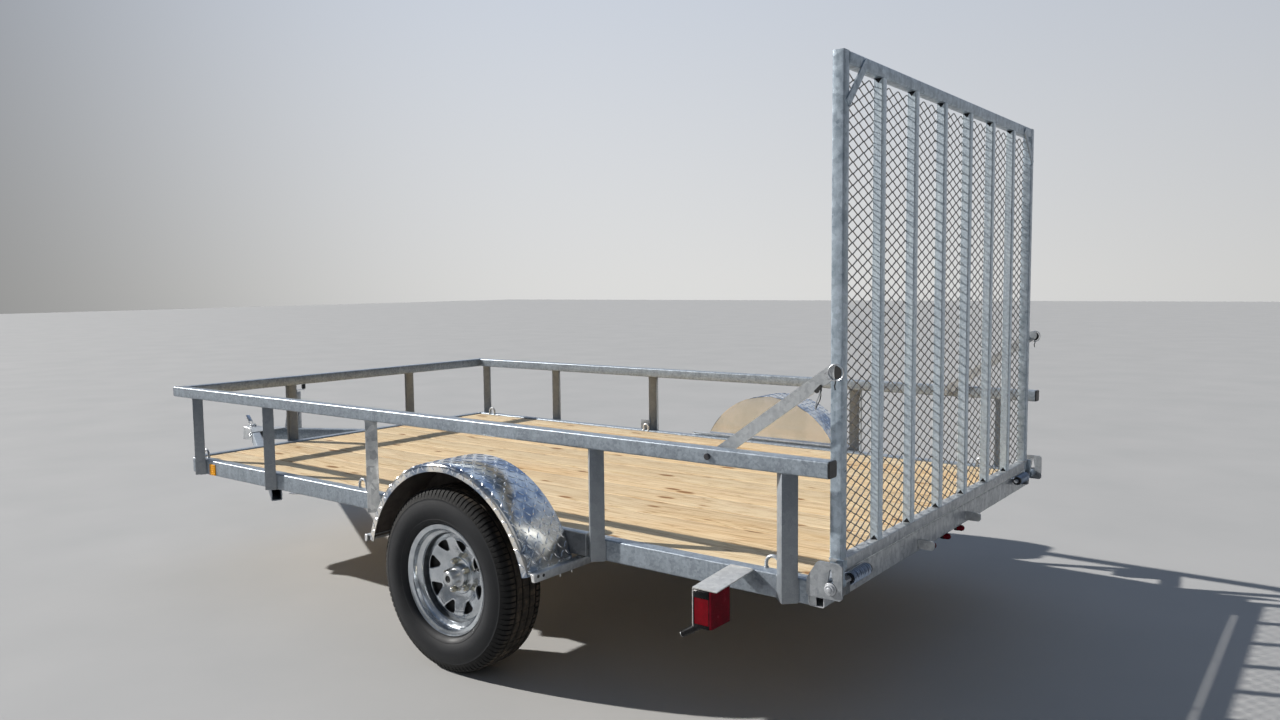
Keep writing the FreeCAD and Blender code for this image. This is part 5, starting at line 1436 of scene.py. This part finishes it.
# hinge plates with slot, bolt, block and pin
for side, s in SIDES:
    b = Build()
    W = EY * s
    raw = [(-1.370, 0.505), (-1.370, 0.552), (-1.402, 0.604), (-1.410, 0.608), (-1.474, 0.608), (-1.484, 0.600), (-1.484, 0.506), (-1.477, 0.499), (-1.376, 0.499)]
    out = fillet(raw, [0.006, 0.012, 0.008, 0.006, 0.010, 0.010, 0.008, 0.008, 0.006], 4)
    # keyhole slot above the bolt
    slot_w = 0.0092
    cx_, z0_, z1_ = -1.447, 0.548, 0.586
    hole = []
    for i in range(9):
        t = math.pi + math.pi * i / 8
        hole.append((cx_ + slot_w * math.cos(t), z0_ + slot_w * math.sin(t)))
    for i in range(9):
        t = math.pi * i / 8
        hole.append((cx_ + 0.0028 * math.cos(t), z1_ + 0.0028 * math.sin(t)))
    bm = bmesh.new()
    vo = [bm.verts.new(P(x, 0, z)) for x, z in out]
    vh = [bm.verts.new(P(x, 0, z)) for x, z in hole]
    edges = [bm.edges.new((vo[i], vo[(i + 1) % len(vo)])) for i in range(len(vo))]
    edges += [bm.edges.new((vh[i], vh[(i + 1) % len(vh)])) for i in range(len(vh))]
    bmesh.ops.triangle_fill(bm, edges=edges, use_beauty=True)
    bmesh.ops.translate(bm, verts=bm.verts, vec=EY * s * (HALF + 0.0002))
    res = bmesh.ops.extrude_face_region(bm, geom=bm.faces[:])
    bmesh.ops.translate(bm, verts=[g for g in res["geom"] if isinstance(g, bmesh.types.BMVert)], vec=EY * s * 0.0078)
    bm.verts.index_update()
    b.add([v.co.copy() for v in bm.verts], [tuple(v.index for v in f.verts) for f in bm.faces], 0)
    bm.free()
    # bolt head and washer in the slot's foot
    disc(b, P(PVX, s * (HALF + 0.008), PVZ), W, [(0, 0.0), (0, 0.0192), (0.0018, 0.0192), (0.0024, 0.0184), (0.0024, 0.0)], 36, 1)
    disc(b, P(PVX, s * (HALF + 0.0104), PVZ), W, [(0, 0.0148), (0.0040, 0.0148), (0.0058, 0.0136), (0.0058, 0.0105), (0.0046, 0.0100), (0.0046, 0.0082), (0.0088, 0.0080), (0.0098, 0.0066), (0.0098, 0.0)], 32, 1)
    # dark rings round the washer and the bolt's shoulder: painted shade in the gaps
    for rr_, hh_ in ((0.0186, 0.0082), (0.0092, 0.0128)):
        ringp = [P(PVX, s * (HALF + hh_), PVZ) + (EX * math.cos(t) + EZ * math.sin(t)) * rr_ for t in [2 * math.pi * j / 36 for j in range(36)]]
        sweep(b, ringp, 0.0015, 6, 3, closed=True)
    # pin
    disc(b, P(PVX, s * 0.780, PVZ), W, [(0, 0.0), (0, 0.0070), (0.001, 0.008), (HALF - 0.780, 0.008)], 24, 1)
    # block below the gate's upright
    block(b, P(PVX - 0.007, s * 0.9475 - 0.0165, 0.490), P(REAR + 0.0005, s * 0.9475 + 0.0165, PVZ + 0.011), 0.004, 0.0010, axis="z", mat=2)
    for e in (1, -1):
        bead(b, P(REAR - 0.0012, s * 0.9475 + e * 0.0175, 0.493), P(REAR - 0.0012, s * 0.9475 + e * 0.0175, PVZ + 0.007), 0.0026)
    # weld of the plate along the rail
    bead(b, P(-1.3695, s * (HALF + 0.002), 0.506), P(-1.3695, s * (HALF + 0.002), 0.540), 0.0030)
    bead(b, P(-1.376, s * (HALF + 0.002), 0.4985), P(-1.420, s * (HALF + 0.002), 0.4985), 0.0030)
    make("hinge_" + side, b, [GALV_HINGE, BOLT, GALV_DIM, DARK_STEEL], FRAME_BODY, ["hinge_plate_" + side])

# ------------------------------------------------------------------ gate arms
ax0, az0, ax1, az1 = -1.043, 0.8856, -1.422, 1.155
for side, s in SIDES:
    W = EY * s
    body = "gate_arm_" + side
    D = Vector((ax1 - ax0, 0, az1 - az0)).normalized()
    Nn = Vector((-D.z, 0, D.x)) * 1.0
    L = math.hypot(ax1 - ax0, az1 - az0)
    out = []
    R = 0.020
    for i in range(13):
        t = math.pi / 2 + math.pi * i / 12
        out.append((R * math.cos(t), R * math.sin(t)))
    for i in range(13):
        t = -math.pi / 2 + math.pi * i / 12
        out.append((L + 0.020 + R * math.cos(t), R * math.sin(t)))
    b = Build()
    bar(b, out, P(ax0, s * 1.020, az0), D, Nn, W, 0.006, cham=0.0007)
    # pivot bolt through the rail, with its dark head outside
    disc(b, P(ax0, s * 1.0205, az0), W, [(0, 0.0), (0, 0.0065), (RAIL_OUT - 1.0205 + 0.002, 0.0065)], 20, 1)
    disc(b, P(ax0, s * (RAIL_OUT + 0.0006), az0), W, [(0, 0.0), (0, 0.0105), (0.0055, 0.0105), (0.0080, 0.0085), (0.0086, 0.0)], 28, 2)
    hexhead(b, P(ax0, s * 1.0202, az0), -W, 0.019, 0.008, 1)
    # eye of the gate end, a thick washer and the ring of its pull pin
    tip = P(ax1, s * 1.0262, az1)
    disc(b, tip - W * 0.0002, W, [(0, 0.0), (0, 0.0120), (0.0016, 0.0120), (0.0016, 0.0)], 28, 1)
    make("gate_arm_bar_" + side, b, [GALV_PALE, ZINC, DARK_STEEL], body, ["gate_arm_" + side])
    # spring-wire ring through the stub's end, hanging on the arm's outer face
    b = Build()
    rr = 0.0235
    mid = P(-1.448, s * 1.0275, 1.163)
    ringp = [mid + EX * (rr * math.cos(t)) + EZ * (rr * math.sin(t)) + W * (0.002 * math.cos(t + 0.6)) for t in [2 * math.pi * i / 48 for i in range(48)]]
    sweep(b, ringp, 0.0019, 8, closed=True)
    # dark mouth of the pull pin's bore, a black sheet that is painted shade, and the clip and short lanyard below it
    mouth = [(-1.4465 - 0.0195 * math.sin(math.pi * j / 14), 1.163 + 0.0195 * math.cos(math.pi * j / 14)) for j in range(15)]
    mouth += [(-1.4435, 1.150), (-1.4425, 1.163), (-1.4435, 1.176)]
    bar(b, mouth, P(0, s * 1.0256, 0), EX, EZ, W, 0.0016, cham=0.0004, mat=1)
    clip = fillet([(-1.4035, 1.129), (-1.379, 1.105), (-1.388, 1.099), (-1.4045, 1.106)], 0.0025, 3)
    bar(b, clip, P(0, s * 1.0262, 0), EX, EZ, W, 0.0050, cham=0.0010, mat=1)
    lan = [P(-1.400, s * 1.0295, 1.110), P(-1.3975, s * 1.031, 1.094), P(-1.391, s * 1.031, 1.078), P(-1.386, s * 1.030, 1.063), P(-1.385, s * 1.030, 1.049)]
    sweep(b, lan, 0.0019, 8, 0)
    lan2 = [P(-1.402, s * 1.0295, 1.107), P(-1.403, s * 1.0312, 1.094), P(-1.400, s * 1.0312, 1.080), P(-1.391, s * 1.0302, 1.064), P(-1.385, s * 1.030, 1.051)]
    sweep(b, lan2, 0.0016, 8, 1)
    pig = [P(-1.4470, s * 1.0280, 1.1440), P(-1.4485, s * 1.0300, 1.1340), P(-1.4455, s * 1.0300, 1.1240), P(-1.4475, s * 1.0295, 1.1120)]
    sweep(b, pig, 0.0019, 8, 1)
    make("gate_arm_ring_" + side, b, [ZINC, BLACK_RUBBER], body)

# ------------------------------------------------------------------ tail lamps
LX, LDEEP, LWIDE, LHIGH, LOUT, LTOP = -1.102, 0.066, 0.108, 0.117, 1.257, 0.522
for side, s in SIDES:
    W = EY * s
    b = Build()
    # bent cover plate from the rail's top edge, drooping outward
    pts = [(HALF + 0.0003, 0.5415), (HALF + 0.003, 0.5423), (LOUT, 0.5262), (LOUT + 0.0, 0.5230), (HALF + 0.003, 0.5385), (HALF + 0.0003, 0.5380)]
    bar(b, [(y, z) for y, z in pts], P(LX + 0.003 - 0.087, 0, 0), EY * s, EZ, EX, 0.087, cham=0.0004)
    # turned-down front flange behind the lamp
    fl = fillet([(LOUT - LWIDE, LTOP - LHIGH), (LOUT, LTOP - LHIGH), (LOUT, LTOP + 0.003), (LOUT - LWIDE, LTOP + 0.010)], [0.006, 0.006, 0.001, 0.001], 3)
    bar(b, fl, P(LX, 0, 0), EY * s, EZ, EX, 0.003, cham=0.0004)
    bead(b, P(LX - 0.080, s * (HALF + 0.0012), 0.5425), P(LX, s * (HALF + 0.0012), 0.5425), 0.0022)
    make("lamp_plate_" + side, b, GALV_LAMP, FRAME_BODY, ["lamp_bracket_" + side])
    # housing
    b = Build()
    x1 = LX - 0.0002
    x0 = LX - LDEEP + 0.009
    yo, yi = LOUT - 0.001, LOUT - LWIDE + 0.001
    zt, zb = LTOP - 0.0005, LTOP - LHIGH + 0.001
    block(b, P(x0, min(s * (yo - 0.004), s * yi), zb), P(x1, max(s * (yo - 0.004), s * yi), zt), 0.006, 0.0015, axis="x", n=4)
    # frame round the side lens
    def frame_strip(xa_, xb_, za_, zb_):
        block(b, P(xa_, min(s * (yo - 0.006), s * yo), za_), P(xb_, max(s * (yo - 0.006), s * yo), zb_), 0.0012, 0.0006, axis="z")
    frame_strip(x0, x1, zt - 0.025, zt)
    frame_strip(x0, x1, zb, zb + 0.010)
    frame_strip(x0, x0 + 0.003, zb, zt)
    frame_strip(x1 - 0.0028, x1, zb, zt)
    # ribs along the housing's top strip
    for i in range(2):
        block(b, P(x0 + 0.004, min(s * yo, s * (yo + 0.0008)), zt - 0.008 - i * 0.007), P(x1 - 0.004, max(s * yo, s * (yo + 0.0008)), zt - 0.005 - i * 0.007), 0.0006, 0.0003, axis="x")
    # studs behind
    for e in (-1, 1):
        hexhead(b, P(LX + 0.0032, s * ((yo + yi) / 2 + e * 0.025), (zt + zb) / 2), EX, 0.011, 0.006, 1, washer=0.009)
    make("lamp_housing_" + side, b, [HOUSING, ZINC], FRAME_BODY, ["tail_lamp_" + side])
    # side lens with vertical flutes
    b = Build()
    za_, zb_ = zb + 0.0105, zt - 0.0255
    xa_, xb_ = x0 + 0.0034, x1 - 0.0032
    n = 14
    prof = []
    for i in range(n * 2 + 1):
        x = xa_ + (xb_ - xa_) * i / (2 * n)
        prof.append((x, yo - 0.0012 + (0.0007 if i % 2 else 0.0)))
    prof += [(xb_, yo - 0.006), (xa_, yo - 0.006)]
    bar(b, [(x, s * y) for x, y in prof], P(0, 0, za_), EX, EY, EZ, zb_ - za_)
    make("lens_side_" + side, b, RED_SIDE, FRAME_BODY, angle=20.0)
    # rear lens, wrapping the end, with vertical ribs
    b = Build()
    n = 12
    prof = [(x0 + 0.0005, yi + 0.0005), (x0 - 0.005, yi + 0.0012), (x0 - 0.0076, yi + 0.0045)]
    for i in range(n * 2 + 1):
        y = yi + 0.007 + (yo - yi - 0.014) * i / (2 * n)
        prof.append((x0 - 0.0086 + (0.0022 if i % 2 else 0.0), y))
    prof += [(x0 - 0.0076, yo - 0.0045), (x0 - 0.005, yo - 0.0012), (x0 + 0.0005, yo - 0.0003)]
    bar(b, [(x, s * y) for x, y in prof], P(0, 0, zb + 0.001), EX, EY, EZ, zt - zb - 0.002)
    make("lens_rear_" + side, b, [RED_REAR, ZINC], FRAME_BODY, angle=20.0)
    # plug under the lamp: a short moulded lead end pointing forward and down
    b = Build()
    a3 = P(LX - 0.020, s * (LOUT - 0.030), zb + 0.012)
    line = [a3, a3 - EZ * 0.010 + EX * 0.004, a3 - EZ * 0.019 + EX * 0.020, a3 - EZ * 0.036 + EX * 0.047, a3 - EZ * 0.056 + EX * 0.079]
    sweep(b, line, 0.007, 12, 0, radii=[0.0104, 0.0114, 0.0114, 0.0110, 0.0100])
    e0 = line[-1]
    dd = (line[-1] - line[-2]).normalized()
    disc(b, e0 - dd * 0.001, dd, [(0, 0.0), (0, 0.0090), (0.003, 0.0092), (0.005, 0.0070), (0.005, 0.0)], 16, 1)
    make("lamp_plug_" + side, b, [HOUSING, GALV_PALE], FRAME_BODY)

# three small lights under the rear beam
b = Build()
block(b, P(REAR + 0.008, -0.173, F_BOT - 0.004), P(REAR + 0.022, 0.173, F_BOT - 0.0002), 0.001, 0.0004, axis="y", mat=0)
for k3 in (-1, 0, 1):
    c0 = P(REAR - 0.008, 0.153 * k3, F_BOT - 0.015)
    disc(b, c0 + EX * 0.030, -EX, [(-0.008, 0.0), (-0.008, 0.0120), (0.0, 0.0128), (0.004, 0.0128), (0.004, 0.0115)], 28, 1)
    disc(b, c0 + EX * 0.026, -EX, [(0, 0.0), (0, 0.0118), (0.016, 0.0116), (0.020, 0.0104), (0.024, 0.0074), (0.026, 0.0030), (0.0262, 0.0)], 28, 2)
make("id_lights", b, [GALV_DIM, BLACK, RED_REAR], FRAME_BODY, ["id_light_bar"])

# ------------------------------------------------------------------ small fittings
for side, s in SIDES:
    # tie rings along the rail's inner top edge
    for i, x in enumerate((-1.228, 0.822 if s > 0 else 0.800, 2.150 if s > 0 else 2.095), start=1):
        b = Build()
        w2, hgt, rr = 0.024, 0.044, 0.006
        if s < 0 and i == 2:
            # smaller ring with a plain square plate standing behind it, beside the third post
            x, w2, hgt, rr = 0.7725, 0.0175, 0.042, 0.0055
            block(b, P(0.7520, -1.0150, F_TOP - 0.001), P(0.8190, -1.0110, F_TOP + 0.060), 0.0015, 0.0005, axis="x", mat=1)
        pts = [P(x - w2, s * 1.000, F_TOP - 0.002)]
        for q in range(13):
            t = math.pi - math.pi * q / 12
            pts.append(P(x + w2 * math.cos(t), s * 1.000, F_TOP + hgt - rr - w2 + w2 * math.sin(t)))
        pts.append(P(x + w2, s * 1.000, F_TOP - 0.002))
        sweep(b, pts, rr, 12)
        for e in (1, -1):
            ringp = [P(x + e * w2, s * 1.000, F_TOP + 0.0008) + (EX * math.cos(t) + EY * math.sin(t)) * 0.0062 for t in [2 * math.pi * j / 16 for j in range(16)]]
            sweep(b, ringp, 0.0022, 6, closed=True)
        # the ring beside the third post on the right is in paler zinc than the others: painted light
        make("tie_ring_%s_%d" % (side, i), b, [ZINC_PALE if s < 0 and i == 2 else GALV_PALE, GALV_DIM], FRAME_BODY)
    # amber reflector at the front of the rail
    b = Build()
    block(b, P(1.980, min(s * (HALF - 0.0002), s * (HALF + 0.0035)), 0.468), P(2.035, max(s * (HALF - 0.0002), s * (HALF + 0.0035)), 0.524), 0.004, 0.0008, axis="y", n=4)
    for i in range(5):
        z = 0.475 + i * 0.0105
        block(b, P(1.985, min(s * (HALF + 0.003), s * (HALF + 0.0043)), z - 0.0036), P(2.030, max(s * (HALF + 0.003), s * (HALF + 0.0043)), z + 0.0036), 0.0006, 0.0004, axis="x", mat=1)
    make("amber_reflector_" + side, b, [AMBER, AMBER], FRAME_BODY)

# CAD nodes that stay, with their finish: the dark galv_under zinc, painted shade under the deck
for name in ["cross_member_%d" % i for i in range(1, 6)] + ["axle"]:
    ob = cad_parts[name]
    ob.data.materials.clear()
    ob.data.materials.append(GALV_DIM)

# ------------------------------------------------------------------ floor, light, camera
floor = bpy.data.meshes.new("floor")
S = 60.0
floor.from_pydata([(-S, -S, 0), (S, -S, 0), (S, S, 0), (-S, S, 0)], [], [(0, 1, 2, 3)])
floor.materials.append(floor_material())
fo = bpy.data.objects.new("floor", floor)
bpy.context.scene.collection.objects.link(fo)

world = bpy.data.worlds.new("studio")
world.use_nodes = True
wnt = world.node_tree
bg = wnt.nodes["Background"]
tc = wnt.nodes.new("ShaderNodeTexCoord")
sx_ = wnt.nodes.new("ShaderNodeSeparateXYZ")
wnt.links.new(tc.outputs["Generated"], sx_.inputs[0])
wr = wnt.nodes.new("ShaderNodeValToRGB")
wr.color_ramp.elements[0].position = 0.0
wr.color_ramp.elements[0].color = (0.74, 0.74, 0.73, 1)
wr.color_ramp.elements[1].position = 0.75
wr.color_ramp.elements[1].color = (0.34, 0.46, 0.68, 1)
wnt.links.new(sx_.outputs[2], wr.inputs["Fac"])
wnt.links.new(wr.outputs["Color"], bg.inputs["Color"])
# darker behind the object's rear, and a broad bright screen beyond its far side
side_x = rng(wnt, sx_.outputs[0], 0.50, 1.05, -1.0, 1.0)
to_screen = math_node(wnt, "ADD", math_node(wnt, "MULTIPLY", sx_.outputs[0], 0.25),
                      math_node(wnt, "ADD", math_node(wnt, "MULTIPLY", sx_.outputs[1], -0.90), math_node(wnt, "MULTIPLY", sx_.outputs[2], 0.36)))
screen_node = wnt.nodes.new("ShaderNodeMapRange")
screen_node.interpolation_type = "SMOOTHERSTEP"
screen_node.inputs["From Min"].default_value = 0.35
screen_node.inputs["From Max"].default_value = 1.0
screen_node.inputs["To Min"].default_value = 0.76
screen_node.inputs["To Max"].default_value = 2.5
wnt.links.new(to_screen, screen_node.inputs["Value"])
screen = screen_node.outputs["Result"]
wnt.links.new(math_node(wnt, "MULTIPLY", math_node(wnt, "MULTIPLY", side_x, screen), 0.43), bg.inputs["Strength"])
bpy.context.scene.world = world

sun = bpy.data.lights.new("key", "SUN")
sun.energy = 5.2
sun.angle = math.radians(1.0)
sun.color = (1.0, 0.972, 0.93)
so = bpy.data.objects.new("key", sun)
bpy.context.scene.collection.objects.link(so)
to_sun = Vector((1.70, 0.67, 1.10)).normalized()
so.rotation_euler = to_sun.to_track_quat("Z", "Y").to_euler()
so.location = to_sun * 8

fill = bpy.data.lights.new("fill", "AREA")
fill.shape = "RECTANGLE"
fill.size, fill.size_y = 5.0, 3.0
fill.energy = 12.0
fill.color = (0.95, 0.97, 1.0)
fl_ = bpy.data.objects.new("fill", fill)
bpy.context.scene.collection.objects.link(fl_)
fl_.location = (-3.5, 6.0, 4.0)
fl_.rotation_euler = (Vector((-3.5, 6.0, 4.0)) - Vector((0, 0, 0.5))).to_track_quat("Z", "Y").to_euler()

yaw, pitch_, roll_ = math.radians(-52.58), math.radians(-4.63), math.radians(-0.614)
fwd = Vector((math.cos(yaw) * math.cos(pitch_), math.sin(yaw) * math.cos(pitch_), math.sin(pitch_)))
right = Vector((math.sin(yaw), -math.cos(yaw), 0))
up = right.cross(fwd)
r2 = right * math.cos(roll_) + up * math.sin(roll_)
u2 = -right * math.sin(roll_) + up * math.cos(roll_)
cam = bpy.data.cameras.new("camera")
cam.sensor_width = 36.0
cam.sensor_fit = "HORIZONTAL"
cam.lens = 953.9 / 1280.0 * 36.0
cam.clip_end = 200.0
co_ = bpy.data.objects.new("camera", cam)
bpy.context.scene.collection.objects.link(co_)
mat = Matrix.Identity(4)
for i in range(3):
    mat[i][0], mat[i][1], mat[i][2] = r2[i], u2[i], -fwd[i]
cp = P(-2.663, 3.543, 1.427)
mat[0][3], mat[1][3], mat[2][3] = cp
co_.matrix_world = mat
bpy.context.scene.camera = co_
bpy.context.scene.view_settings.view_transform = "Standard"
